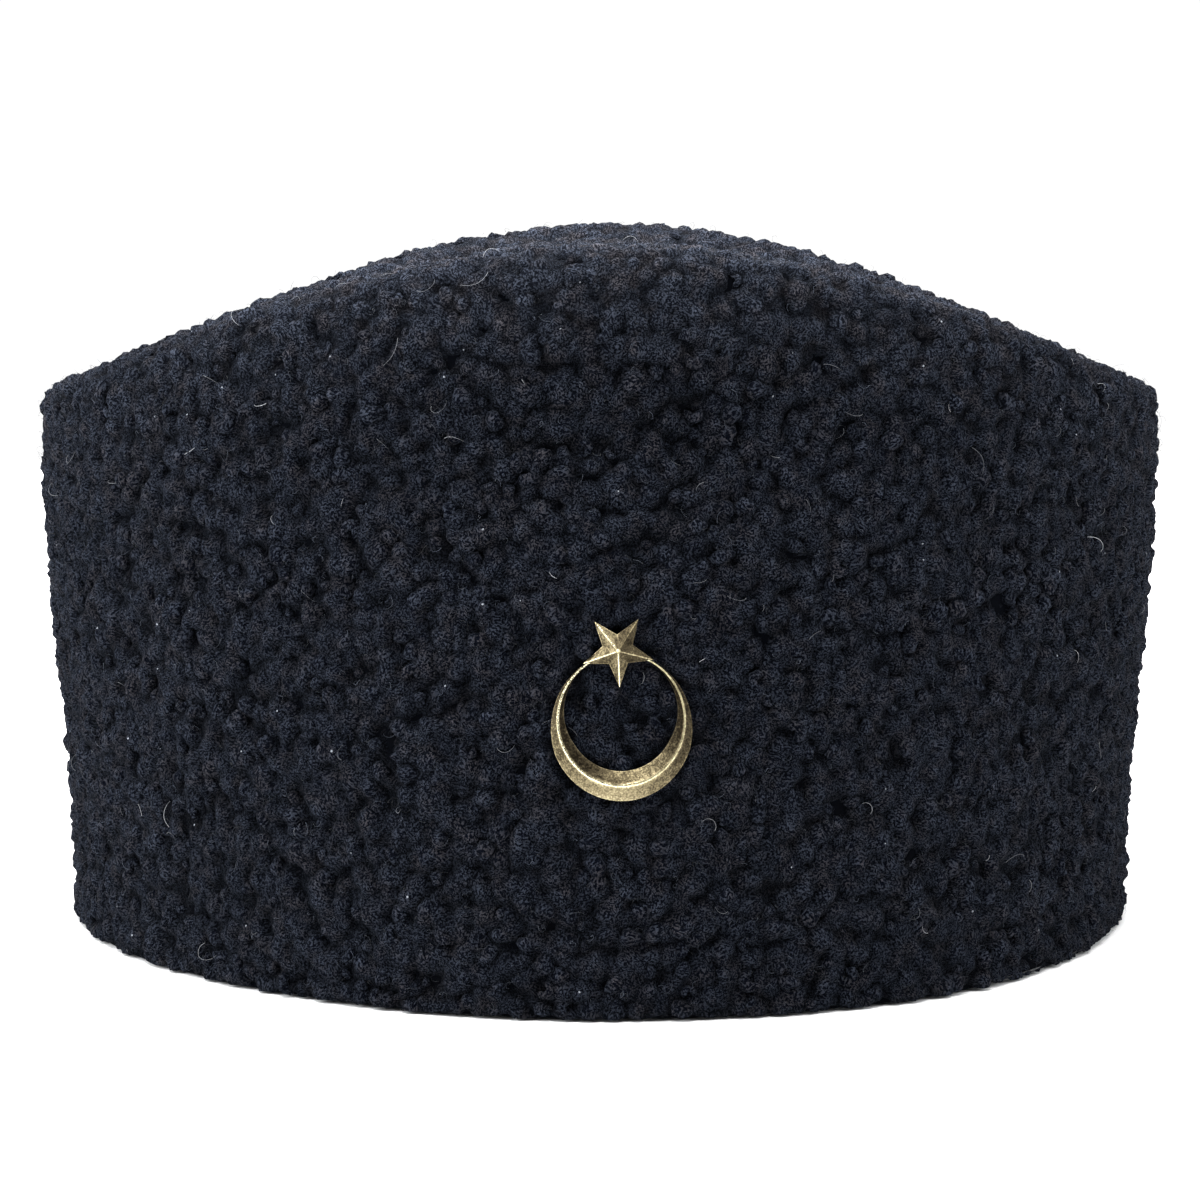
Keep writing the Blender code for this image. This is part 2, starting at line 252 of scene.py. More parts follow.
# %% Put the wool together
def wool_material(name):
    """Curled wool: fibre lines on each curl, painted shade at the roots, paler tips, painted glints and
    sheen, and a few pale specks of painted glint.
    """
    made, bench, shader = new_material(
        name, Sheen_Weight=0.02, Sheen_Roughness=0.35, Specular_IOR_Level=0.02)
    shader.inputs["Sheen Tint"].default_value = (0.60, 0.70, 0.90, 1.0)
    tone, tip, worn = (attribute(bench, label) for label in ("tone", "tip", "worn"))
    combed = vector_math(bench, "MULTIPLY", attribute(bench, "lock", "Vector"), (1.0, 0.6, 1.0))
    place = vector_math(bench, "ADD", combed, attribute(bench, "drift", "Vector"))
    waves = noise(bench, place, FIBRES_PER_MM, 2.0, Roughness=0.7, Distortion=1.2)
    fibre = (1.0 - ((waves - 0.5) * FIBRE_SHARPNESS).math("ABSOLUTE")).kept_in(0.0, 1.0)
    grain = noise(bench, place, GRAIN_PER_MM, 1.0, Roughness=0.6)
    # Painted glints: bright fibre lines and grain lighten the colour, partly pale fibres and partly a shine
    # painted in.
    glint = (fibre * FIBRE_GLINT + (grain - GRAIN_CUT) * GRAIN_CONTRAST).kept_in(0.0, 1.0)
    # Painted shade: where the tip value is low, at a curl's root and in the creases, the colour is darker.
    height = (tip * TIP_GAIN + ROOT_LIGHT) * (tone * TONE_GAIN + TONE_LIGHT)
    # Painted sheen: near the rim the glints grow and the whole colour pales.
    bright = glint ** 2.0 * height * (worn * RIM_SHEEN_GAIN + 1.0) * BRIGHTNESS + worn * RIM_SHEEN_PALENESS
    body = mix_colours(bench, (tip * 1.3 - 0.2).kept_in(0.0, 1.0), WOOL_SHADE, WOOL_BODY)
    object_place = bench.add("ShaderNodeTexCoord", out="Object")
    patch = noise(bench, object_place, PATCHES_PER_METRE, 3.0)
    warmth = ((patch - 0.5) * 5.0 + 0.25).kept_in(0.0, 1.0)
    tips = mix_colours(bench, warmth, WOOL_TIP_COOL, WOOL_TIP_WARM)
    coloured = mix_colours(bench, bright.kept_in(0.0, 1.0), body, tips)
    bench.join(with_specks(bench, coloured, object_place), shader.inputs["Base Color"])
    bench.join(0.97 - fibre * 0.12, shader.inputs["Roughness"])
    bench.join(wool_bumps(bench, place, fibre, grain), shader.inputs["Normal"])
    return made


wool = wool_material("curled_wool")

# %% Backing cloth
CLOTH_DARK = (0.0035, 0.0040, 0.0060)
CLOTH_LIGHT = (0.018, 0.019, 0.024)
CLOTH_THREADS = 1500.0  # scale of the wave texture that makes the threads
NAP_PER_METRE = 260.0


def threads(bench, place, direction):
    """Fine wavy bands."""
    return bench.add("ShaderNodeTexWave", {"bands_direction": direction}, {
        "Vector": place, "Scale": CLOTH_THREADS, "Distortion": 1.2, "Detail": 1.0}, out="Fac")


def backing_material():
    """The bare inner side: dark cloth, napped, with a fine crossed weave."""
    made, bench, shader = new_material("backing_cloth", Sheen_Weight=0.15, Sheen_Roughness=0.5)
    place = bench.add("ShaderNodeTexCoord", out="Object")
    weave = (threads(bench, place, "Z") + threads(bench, place, "DIAGONAL")) * 0.5
    nap = noise(bench, place, NAP_PER_METRE, 5.0, Roughness=0.7)
    shade = (nap * 1.3 - 0.35 + weave * 0.3).kept_in(0.0, 1.0)
    bench.join(mix_colours(bench, shade, CLOTH_DARK, CLOTH_LIGHT), shader.inputs["Base Color"])
    bench.join(0.98 - nap * 0.15, shader.inputs["Roughness"])
    bump = bench.add("ShaderNodeBump", values={
        "Height": weave * 0.5 + nap, "Strength": 0.5, "Distance": 0.0003})
    bench.join(bump, shader.inputs["Normal"])
    return made


backing_cloth = backing_material()

# %% [markdown]
# ## Hairs, seam shade and thread
#
# These pieces are thin, so two colours and a roughness are enough for each. A hair takes its shade
# from its own tone: most are dark, and a power of the tone makes the pale ones rare. The seam fill,
# black as painted shade in the seam, and the thread have a fine noise, the thread's for its ply, and
# the wire has one for its drawing marks.

# %% Stray hairs
LINT_DARK = (0.040, 0.044, 0.055)
LINT_PALE = (0.42, 0.43, 0.46)
FUZZ_DARK = (0.002, 0.003, 0.005)
FUZZ_PALE = (0.078, 0.092, 0.125)


def hair_material(name, dark, pale, rarity, roughness, **sockets):
    """Single hairs, from dark to pale by their tone."""
    made, bench, shader = new_material(name, **sockets)
    tone = attribute(bench, "tone")
    bench.join(mix_colours(bench, tone ** rarity, dark, pale), shader.inputs["Base Color"])
    bench.join(roughness + tone * 0.2, shader.inputs["Roughness"])
    return made


pale_lint = hair_material("pale_lint", LINT_DARK, LINT_PALE, 2.5, 0.6, Sheen_Weight=0.2)
wool_fuzz = hair_material(
    "wool_fuzz", FUZZ_DARK, FUZZ_PALE, 2.0, 0.65, Sheen_Weight=0.1, Specular_IOR_Level=0.2)

# %% Seam shade, thread and wire
SEAM_SHADE_DARK = (0.0010, 0.0012, 0.0020)
SEAM_SHADE_LIGHT = (0.0040, 0.0046, 0.0070)
THREAD_DARK = (0.012, 0.013, 0.017)
THREAD_LIGHT = (0.045, 0.048, 0.060)
WIRE_DARK = (0.30, 0.22, 0.10)
WIRE_LIGHT = (0.62, 0.50, 0.28)


def grained_material(name, dark, light, marks, roughness, **sockets):
    """Two colours mixed by a noise of this scale and detail. The roughness is (least, added)."""
    made, bench, shader = new_material(name, **sockets)
    grain = noise(bench, bench.add("ShaderNodeTexCoord", out="Object"), *marks)
    bench.join(mix_colours(bench, grain, dark, light), shader.inputs["Base Color"])
    bench.join(roughness[0] + grain * roughness[1], shader.inputs["Roughness"])
    return made


# Painted shade: a black fill along a seam, deep between two edges of the fleece, stands for the shade in the
# gap.
seam_shade_fill = grained_material(
    "seam_shade_fill", SEAM_SHADE_DARK, SEAM_SHADE_LIGHT, (1800.0, 2.0), (0.85, 0.1), Specular_IOR_Level=0.05)
waxed_thread = grained_material(
    "waxed_thread", THREAD_DARK, THREAD_LIGHT, (2400.0, 1.0), (0.42, 0.2), Specular_IOR_Level=0.3)
# The staple is plain brass wire with fine drawing marks.
drawn_wire = grained_material(
    "drawn_wire", WIRE_DARK, WIRE_LIGHT, (1800.0, 3.0), (0.30, 0.25), Metallic=1.0)

# %% [markdown]
# ## Aged brass
#
# Old brass isn't one colour. Grime stays in its hollows, its slopes are dull, and its ridges are
# rubbed bright. The badge's mesh carries a value for this, which also holds painted light: the side
# away from the light is darker, and slopes that would reflect the floor or a lamp are paler. A fine
# grain and a cloud of noise break it up, and a colour ramp turns it into the metal's colour. What is
# rubbed is also smoother.

# %% Aged brass
# Colours along the value of wear and painted light: grimy hollow and painted shade, dull slope, aged slope,
# rubbed edge, bright ridge and painted highlight.
BRASS_STOPS = (
    (0.0, (0.010, 0.0075, 0.0045)), (0.28, (0.070, 0.056, 0.032)), (0.55, (0.26, 0.215, 0.125)),
    (0.85, (0.72, 0.64, 0.39)), (1.0, (0.96, 0.90, 0.62)),
)
BRASS_CLOUDS_PER_METRE = 700.0
BRASS_GRAINS_PER_METRE = 3200.0


def brass_material():
    """Cast brass that has darkened, rubbed bright and with a painted highlight where its value is near 1."""
    made, bench, shader = new_material("aged_brass", Metallic=1.0)
    place = bench.add("ShaderNodeTexCoord", out="Object")
    wear = attribute(bench, "wear")
    cloud = noise(bench, place, BRASS_CLOUDS_PER_METRE, 4.0, Roughness=0.65)
    grain = noise(bench, place, BRASS_GRAINS_PER_METRE, 2.0)
    # The value holds wear and painted light, and the noise breaks it up.
    rubbed_and_lit = (wear + (grain - 0.5) * 0.75 + (cloud - 0.5) * 0.55).kept_in(0.0, 1.0)
    colour = bench.add("ShaderNodeValToRGB", {"stops": BRASS_STOPS}, {"Fac": rubbed_and_lit}, out="Color")
    bench.join(colour, shader.inputs["Base Color"])
    bench.join(0.55 - rubbed_and_lit * 0.30 + (grain - 0.5) * 0.2, shader.inputs["Roughness"])
    bump = bench.add("ShaderNodeBump", values={
        "Height": grain + cloud * 0.6, "Strength": 0.6, "Distance": 0.00015})
    bench.join(bump, shader.inputs["Normal"])
    return made


aged_brass = brass_material()

# %% [markdown]
# ## The backing
#
# Each wall needs a ground for the curls to stand on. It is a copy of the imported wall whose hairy
# side is drawn in by most of the pile's height, while the bare inner side stays where it is. Which
# side a point is on follows from its normal: outwards, or up at the rim and on the crown.

# %% Measure which way a face looks
PILE_DEPTH = 0.0016  # from the wall's surface down to the roots' felt
LEAST_UP = 0.3  # what looks up at least this much is on the crown's upper side
# How far a face or point that carries wool looks in a direction, from 0 to 1.
OUTWARD_WOOL = 0.15
UPWARD_WOOL = 0.5
RIM_TURN = 0.3  # looking down, on the inner edge of the rim
HEM_TURN = 0.93  # looking down, round the hem
HEM_TURN_OF_BACKING = 0.5
SAME_POINT = 0.00001
SHARP_ANGLE = math.radians(50)


def looks_outward(point, normal):
    """How far a direction points away from the cap's upright axis, from -1 to 1."""
    flat = Vector((point.x, point.y, 0.0))
    return normal.dot(flat.normalized()) if flat.length > 0.001 else 0.0


def link(name, mesh):
    """A new object with this mesh, in the scene."""
    made = bpy.data.objects.new(name, mesh)
    bpy.context.scene.collection.objects.link(made)
    return made


def merged_copy(node):
    """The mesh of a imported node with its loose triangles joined."""
    mesh = frame["nodes"][node].data.copy()
    shell = bmesh.new()
    shell.from_mesh(mesh)
    bmesh.ops.remove_doubles(shell, verts=shell.verts, dist=SAME_POINT)
    shell.to_mesh(mesh)
    shell.free()
    return mesh


crown_points = frame["nodes"]["crown"].data.vertices
crown_top_points = [v.co for v in crown_points if v.normal.z > LEAST_UP]
crown_tree = KDTree(len(crown_top_points))
for number, place in enumerate(crown_top_points):
    crown_tree.insert(place, number)
crown_tree.balance()
print(len(crown_top_points), "of the crown's", len(crown_points), "points are on its upper side")

# %% Draw the hairy side in
RIM_REACH = 0.0055  # the wool turns over the rim and goes this near to the crown's edge
BELOW_CROWN_EDGE = 0.0008


def backing(name, node, hairy):
    """A copy of the wall, thinner by the pile on its hairy side."""
    mesh = merged_copy(node)
    shell = bmesh.new()
    shell.from_mesh(mesh)
    shell.normal_update()
    moves = [(v, v.normal.copy()) for v in shell.verts if hairy(v.co, v.normal)]
    for vert, normal in moves:
        vert.co -= normal * PILE_DEPTH
        vert.co.z = max(vert.co.z, 0.0)
    shell.to_mesh(mesh)
    shell.free()
    mesh.shade_smooth()
    mesh.set_sharp_from_angle(angle=SHARP_ANGLE)
    mesh.materials.clear()
    mesh.materials.append(backing_cloth)
    # The hairy side takes the wool, which here has no tip value and shows its darkest colour: painted shade
    # deep under the pile.
    mesh.materials.append(wool)
    for polygon in mesh.polygons:
        polygon.material_index = int(hairy(polygon.center, polygon.normal))
    made = link(name, mesh)
    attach(made, "root")
    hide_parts(node)
    print(name, "has", len(mesh.polygons), "faces,", len(moves), "points drawn in")
    return made


def on_wall_outside(point, normal):
    """Whether a point of a wall panel carries curls."""
    edge, number, distance = crown_tree.find(point)
    near_crown = distance < RIM_REACH and point.z > edge.z - BELOW_CROWN_EDGE
    over_rim = near_crown and normal.z > -RIM_TURN
    outside = looks_outward(point, normal) > OUTWARD_WOOL or normal.z > UPWARD_WOOL
    return normal.z > -HEM_TURN_OF_BACKING and (outside or over_rim)


def on_crown_top(point, normal):
    """Whether a point of the crown carries curls."""
    return normal.z > UPWARD_WOOL


backing("front_backing", "front_panel", on_wall_outside)
backing("back_backing", "back_panel", on_wall_outside)
backing("crown_backing", "crown", on_crown_top)

# %% [markdown]
# ## The seams
#
# The panels meet edge to edge at the sides, and the crown sits inside the rim. A furrier sews such
# edges on the leather side with an overcast stitch, which pulls them shut. In the imported model a
# seam is a gap of 0.3 mm, and light would show through it. So a bead of squeezed edges fills each
# gap within the wall, black as painted shade in the seam, and slanting stitches cross it on the
# inside. The stitches are one pattern, repeated along a curve by Geometry Nodes.

# %% Follow a side seam
SEAM_STEPS = 24
BEAD_HALF_WIDTH = 0.0009
PANEL_END_Y = 0.0004  # a panel ends this near to the seam's middle
SEAM_FOOT = 0.0016  # height where the bead starts
SEAM_SHORTER = 0.0050  # the bead is this much shorter than the wall is high
NEAREST_CORNERS = 14


def side_seam(sign):
    """Places (inner, outer) up the wall at the side where x has this sign."""
    panel_points = [v.co for v in frame["nodes"]["front_panel"].data.vertices]
    ends = [p for p in panel_points if abs(p.y) < PANEL_END_Y and p.x * sign > 0]
    top = max(p.z for p in ends)
    places = []
    for step in range(SEAM_STEPS + 1):
        z = SEAM_FOOT + (top - SEAM_SHORTER) * step / SEAM_STEPS
        close = sorted(ends, key=lambda p: abs(p.z - z))[:NEAREST_CORNERS]
        middle = (min(abs(p.x) for p in close) + max(abs(p.x) for p in close)) / 2.0
        sides = []
        for outer in (False, True):
            column = sorted((p.z, abs(p.x)) for p in ends if (abs(p.x) > middle) == outer)
            sides.append(float(np.interp(z, [c[0] for c in column], [c[1] for c in column])))
        places.append((sign * sides[0], sign * sides[1], z))
    return places


# %% Build tubes and bars
def tube_faces(steps, sides, first=0):
    """Quads between the rings of a tube, whose points are numbered ring after ring."""
    faces = []
    for step in range(steps):
        start = first + step * sides
        for corner in range(sides):
            a, b = start + corner, start + (corner + 1) % sides
            faces.append((a, b, b + sides, a + sides))
    return faces


def solid_mesh(name, points, faces):
    """A mesh of these faces, all turned to look outwards."""
    mesh = bpy.data.meshes.new(name)
    mesh.from_pydata(points, [], faces)
    shell = bmesh.new()
    shell.from_mesh(mesh)
    bmesh.ops.recalc_face_normals(shell, faces=shell.faces)
    shell.to_mesh(mesh)
    shell.free()
    return mesh


# %% Fill the seams
BEAD_INSIDE = 0.0004  # from the wall's inner side in to the bead
BEAD_OUTSIDE = 0.0022  # from the wall's outer side in to the bead


def bead(name, rows, closed, node):
    """A bar with four corners at each place along a seam."""
    points = [corner for row in rows for corner in row]
    spans = len(rows) if closed else len(rows) - 1
    faces = [tuple(corner % len(points) for corner in face) for face in tube_faces(spans, 4)]
    if not closed:
        faces += [(0, 1, 2, 3), tuple(4 * spans + i for i in range(4))]
    mesh = solid_mesh(name, points, faces)
    # Its black material is painted shade in the seam.
    mesh.materials.append(seam_shade_fill)
    made = link(name, mesh)
    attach(made, "root")
    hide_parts(node)
    return made


side_seams = {"left": side_seam(-1.0), "right": side_seam(1.0)}
for side, places in side_seams.items():
    half = BEAD_HALF_WIDTH
    rows = []
    for inner, outer, z in places:
        sign = math.copysign(1.0, outer)
        near, far = inner + sign * BEAD_INSIDE, outer - sign * BEAD_OUTSIDE
        rows.append([(near, -half, z), (far, -half, z), (far, half, z), (near, half, z)])
    bead(f"seam_bead_{side}", rows, False, "front_panel")
    inner, outer, z = places[5]
    print(side, "seam: the wall is", round(abs(outer - inner) * 1000, 2), "mm thick")

# %% Fill the seam round the crown
CROWN_SEAM_STEPS = 120
CROWN_EDGE_HEIGHT = 0.0060  # from the crown's lower corner up to its rounded edge
COLUMN_GAP = math.radians(1.0)
LEAST_EDGE_REACH = 0.04  # what is nearer to the middle isn't the crown's edge
CROWN_BEAD_HALF_WIDTH = 0.0010
CROWN_BEAD_HALF_HEIGHT = 0.0014
BAR_CORNERS = ((-1, -1), (1, -1), (1, 1), (-1, 1))


def crown_outline():
    """Places round the crown's edge, as (middle of the edge, way outwards, height of its lower corner)."""
    turned = sorted((math.atan2(v.co.y, v.co.x), v.co.to_2d().length, v.co.z) for v in crown_points)
    corners = []
    for point in turned:
        if point[1] < LEAST_EDGE_REACH:
            continue
        if not corners or point[0] - corners[-1][0] > COLUMN_GAP:
            corners.append(point)
        elif point[1] > corners[-1][1]:
            corners[-1] = point
    turns, reaches, heights = zip(*corners)
    ring = []
    for step in range(CROWN_SEAM_STEPS):
        turn = math.tau * step / CROWN_SEAM_STEPS
        way = Vector((math.cos(turn), math.sin(turn), 0.0))
        reach = float(np.interp(turn, turns, reaches, period=math.tau))
        low = float(np.interp(turn, turns, heights, period=math.tau))
        ring.append((way * reach + Vector((0, 0, low + CROWN_EDGE_HEIGHT / 2.0)), way, low))
    print(len(corners), "corner points round the crown")
    return ring


crown_ring = crown_outline()
crown_points_of_edge = [place for place, way, low in crown_ring]
rows = []
for place, way, low in crown_ring:
    across, up = way * CROWN_BEAD_HALF_WIDTH, Vector((0.0, 0.0, CROWN_BEAD_HALF_HEIGHT))
    rows.append([tuple(place + across * side + up * rise) for side, rise in BAR_CORNERS])
bead("crown_seam_bead", rows, True, "crown")

# %% Bend a stitch
STITCH_SIDES = 5
STITCH_STEPS = 6
STITCH_HALF_WIDTH = 0.00032
STITCH_HALF_REACH = 0.0019
STITCH_SLANT = 0.0011
STITCH_RISE = 0.0005
STITCH_DIP = 1.7  # times the rise, from the stitch's top down to its ends


def stitch_pattern():
    """A thread that leaves the cloth, crosses the seam aslant and goes in again. The seam runs along x."""
    points = []
    for step in range(STITCH_STEPS + 1):
        share = 2.0 * step / STITCH_STEPS - 1.0
        height = STITCH_RISE * (1.0 - STITCH_DIP * share**2)
        middle = Vector((STITCH_SLANT * share, STITCH_HALF_REACH * share, height))
        way = Vector((STITCH_SLANT, STITCH_HALF_REACH, -2.0 * STITCH_DIP * STITCH_RISE * share)).normalized()
        side = way.cross(Vector((0.0, 0.0, 1.0))).normalized()
        other = side.cross(way)
        for corner in range(STITCH_SIDES):
            around = math.tau * corner / STITCH_SIDES
            points.append(middle + (side * math.cos(around) + other * math.sin(around)) * STITCH_HALF_WIDTH)
    last = STITCH_SIDES * STITCH_STEPS
    faces = tube_faces(STITCH_STEPS, STITCH_SIDES)
    faces += [tuple(range(STITCH_SIDES)), tuple(range(last, last + STITCH_SIDES))]
    return bpy.data.objects.new("stitch", solid_mesh("stitch", points, faces))


# %% Mark where the stitches go
STITCH_SPACING = 0.0046


def stitch_marks(name, path, closed):
    """Points along a seam, one for each stitch, with its turn. A path is of (place, way off the cloth)."""
    path = path + path[:1] if closed else path
    reach = [0.0]
    for (a, off_a), (b, off_b) in zip(path, path[1:]):
        reach.append(reach[-1] + (b - a).length)
    count = int(reach[-1] / STITCH_SPACING)
    places, turns = [], []
    for number in range(count):
        goal = reach[-1] * (number + 0.5) / count
        span = max(i for i in range(len(path) - 1) if reach[i] <= goal)
        share = (goal - reach[span]) / (reach[span + 1] - reach[span])
        (a, off_a), (b, off_b) = path[span], path[span + 1]
        along, off = (b - a).normalized(), off_a.lerp(off_b, share)
        off = (off - along * off.dot(along)).normalized()
        turn = Matrix((along, off.cross(along), off)).transposed().to_euler()
        places.append(a.lerp(b, share))
        turns.append(turn)
    mesh = bpy.data.meshes.new(name)
    mesh.from_pydata(places, [], [])
    marks = mesh.attributes.new("turn", "FLOAT_VECTOR", "POINT")
    for number, turn in enumerate(turns):
        marks.data[number].vector = turn
    return link(name, mesh)


# %% [markdown]
# ## The curls
#
# Seen close, the fleece is a crowd of knots, 2 to 4 mm across: most are round and lumpy, and some
# are short locks bent into a hook. Ten knots and four hooks are modelled, from few faces each, and
# Geometry Nodes spreads them. Few patterns are enough, because each copy is turned, tilted and
# sized at random, and the eye doesn't find the repeats.

# %% Store what a curl carries
MILLIMETRE = 0.001


def pattern(name, points, faces, low, high):
    """A pattern object, with tip and lock kept on its points."""
    mesh = solid_mesh(name, points, faces)
    tip = mesh.attributes.new("tip", "FLOAT", "POINT")
    lock = mesh.attributes.new("lock", "FLOAT_VECTOR", "POINT")
    for number, point in enumerate(points):
        tip.data[number].value = min(max((point[2] - low) / (high - low), 0.0), 1.0)
        lock.data[number].vector = [c / MILLIMETRE for c in point]
    return bpy.data.objects.new(name, mesh)


# %% Round knots
KNOT_SIDES = 9
KNOT_RINGS_DEG = (30, 58, 88)
KNOT_HALF_WIDTH = 0.00165
KNOT_HEIGHT = 0.00160


def knot(name, dice):
    """A lumpy round knot of wool: a dome of three rings over a pointed root."""
    lobes = [(order, dice.uniform(0, math.tau), dice.uniform(0.04, 0.12)) for order in (2, 3, 4)]
    stretch = dice.uniform(0.85, 1.20)
    points = [(dice.gauss(0, 0.0001), dice.gauss(0, 0.0001), KNOT_HEIGHT * dice.uniform(0.88, 1.05))]
    for ring, polar_deg in enumerate(KNOT_RINGS_DEG):
        polar = math.radians(polar_deg)
        for side in range(KNOT_SIDES):
            turn = math.tau * (side + 0.5 * (ring % 2)) / KNOT_SIDES
            swell = 1.0 + sum(depth * math.sin(order * turn + start) for order, start, depth in lobes)
            swell *= 1.0 + dice.gauss(0, 0.06)
            across = KNOT_HALF_WIDTH * math.sin(polar) * swell
            height = KNOT_HEIGHT * math.cos(polar) * (1.0 + dice.gauss(0, 0.07))
            points.append((across * math.cos(turn) * stretch, across * math.sin(turn) / stretch, height))
    points.append((0.0, 0.0, -0.9 * KNOT_HEIGHT))
    faces = [(0, 1 + side, 1 + (side + 1) % KNOT_SIDES) for side in range(KNOT_SIDES)]
    for ring in range(len(KNOT_RINGS_DEG) - 1):
        for side in range(KNOT_SIDES):
            start = 1 + ring * KNOT_SIDES
            a, b = start + side, start + (side + 1) % KNOT_SIDES
            c, d = a + KNOT_SIDES, b + KNOT_SIDES
            faces += [(a, c, b), (b, c, d)] if ring % 2 == 0 else [(a, d, b), (a, c, d)]
    last = len(points) - 1
    foot = 1 + (len(KNOT_RINGS_DEG) - 1) * KNOT_SIDES
    faces += [(foot + side, foot + (side + 1) % KNOT_SIDES, last) for side in range(KNOT_SIDES)]
    return pattern(name, points, faces, -0.3 * KNOT_HEIGHT, KNOT_HEIGHT)


# %% Hooked locks
HOOK_SIDES = 5
HOOK_STEPS = 7
HOOK_HALF_WIDTH = 0.00095


def hook(name, dice):
    """A short lock bent round into a hook that lies on the ground and rises at one end."""
    bend = dice.uniform(0.00095, 0.00135)
    sweep = math.radians(dice.uniform(190, 290))
    rise = dice.uniform(0.0004, 0.0009)
    points, faces = [], []
    for step in range(HOOK_STEPS):
        share = step / (HOOK_STEPS - 1)
        turn = sweep * share
        width = HOOK_HALF_WIDTH * (0.55 + 0.5 * math.sin(math.pi * share)) * dice.uniform(0.9, 1.1)
        outward = Vector((math.cos(turn), math.sin(turn), 0.0))
        centre = outward * bend * (1.0 - 0.35 * share) + Vector((0, 0, 0.0002 + rise * share))
        for side in range(HOOK_SIDES):
            around = math.tau * side / HOOK_SIDES
            offset = outward * math.cos(around) + Vector((0, 0, 1.1)) * math.sin(around)
            points.append(tuple(centre + offset * width))
    for step in range(HOOK_STEPS - 1):
        for side in range(HOOK_SIDES):
            a, b = step * HOOK_SIDES + side, step * HOOK_SIDES + (side + 1) % HOOK_SIDES
            faces += [(a, b, b + HOOK_SIDES), (a, b + HOOK_SIDES, a + HOOK_SIDES)]
    for first in (0, (HOOK_STEPS - 1) * HOOK_SIDES):
        ring = [Vector(points[first + side]) for side in range(HOOK_SIDES)]
        points.append(tuple(sum(ring, Vector()) / HOOK_SIDES))
        cap = len(points) - 1
        faces += [(first + side, first + (side + 1) % HOOK_SIDES, cap) for side in range(HOOK_SIDES)]
    return pattern(name, points, faces, -0.0006, 0.0018)


# %% Cut the patterns
KNOT_PATTERNS = 10
HOOK_PATTERNS = 4

dice = random.Random(11)
locks = bpy.data.collections.new("lock_patterns")
for number in range(KNOT_PATTERNS + HOOK_PATTERNS):
    make = knot if number < KNOT_PATTERNS else hook
    locks.objects.link(make(f"lock_{number:02d}", dice))
faces_in = [len(o.data.polygons) for o in locks.objects]
print(len(faces_in), "patterns of", min(faces_in), "to", max(faces_in), "faces")

# %% [markdown]
# ## The badge, flat
#
# The badge comes before the wool, because the wool is pressed down under it. It is first drawn
# flat: right, up and out are counted from the middle of the crescent's ring. The crescent lies
# between two circles whose centres are apart, and its ridge between its two slopes is rubbed bright
# and given a painted highlight.

# %% Draw the crescent
RIDGE_RADIUS = 0.0107
CRESCENT_OUTER_RADIUS = 0.0122
CRESCENT_OUTER_DROP = 0.00115
CRESCENT_INNER_RADIUS = 0.0094
CRESCENT_INNER_RISE = 0.00095
CRESCENT_STRETCH = 1.047
CRESCENT_REACH_DEG = 156
CRESCENT_STEPS = 150
HORN_START = math.radians(65)
HORN_END = math.radians(135)
HORN_THINNING = 0.55
RIDGE_SLOPE = 0.62
RIM_THICKNESS = 0.0007
RUBBED_HALF_WIDTH = 0.00014
# Share of the way from the rubbed ridge to an edge, and its polish there:
# 0 as the slope, 1 as the ridge.
SLOPE_PROFILE = ((0.0, 1.0), (0.06, 0.30), (0.20, 0.0), (0.70, 0.0), (0.94, 0.10), (1.0, 0.35))


def reach_on_circle(way, radius, centre_rise):
    """How far a ray from the ring's middle goes to a circle whose centre lies this much higher."""
    along = way.y * centre_rise
    return along + math.sqrt(radius**2 - centre_rise**2 + along**2)


def crescent_row(angle):
    """Points (right, up, out, wear and painted light) across the crescent, from its outer foot to its inner
    foot.
    """
    way = Vector((math.sin(angle), -math.cos(angle)))
    outer = reach_on_circle(way, CRESCENT_OUTER_RADIUS, -CRESCENT_OUTER_DROP)
    inner = reach_on_circle(way, CRESCENT_INNER_RADIUS, CRESCENT_INNER_RISE)
    thin = 1.0 - HORN_THINNING * min(max((abs(angle) - HORN_START) / (HORN_END - HORN_START), 0.0), 1.0)
    outer, inner = (RIDGE_RADIUS + (edge - RIDGE_RADIUS) * thin for edge in (outer, inner))
    crest = RIDGE_SLOPE * (outer - inner) / 2.0
    # Partly wear, partly painted light: the outer slope is paler low down, where it reflects the floor, and
    # dims towards the horns; the inner slope is lit low down, more on the right, as a painted reflection of
    # the overhead light; the ridge dims at the bottom and on the right.
    low = max(math.cos(angle), 0.0)  # 1 at the bottom, 0 from the sides up
    right = max(math.sin(angle), 0.0)  # painted shade: the right side is darker, away from the light
    outer_wear_and_light = (0.03 + 0.38 * max(math.cos(angle * 0.62), 0.0)**1.5 + 0.12 * low**4) * (1.0 - 0.50 * right)
    inner_wear_and_light = (0.31 + 0.24 * math.sin(angle)) * low**2
    shine = 1.06 - 0.12 * low - 0.34 * right
    half = min(RUBBED_HALF_WIDTH, (outer - inner) / 4.0)
    row = [(outer, 0.0, 0.1)]
    for sign, edge, slope_wear_and_light, shares in (
            (1.0, outer, outer_wear_and_light, SLOPE_PROFILE[::-1]), (-1.0, inner, inner_wear_and_light, SLOPE_PROFILE)):
        start = RIDGE_RADIUS + sign * half
        for share, polish in shares:
            wear = slope_wear_and_light + (shine - slope_wear_and_light) * polish
            row.append((start + (edge - start) * share, RIM_THICKNESS + crest * (1.0 - share), wear))
    row.append((inner, 0.0, 0.1))
    return [(way.x * reach, way.y * reach * CRESCENT_STRETCH, out, wear) for reach, out, wear in row]


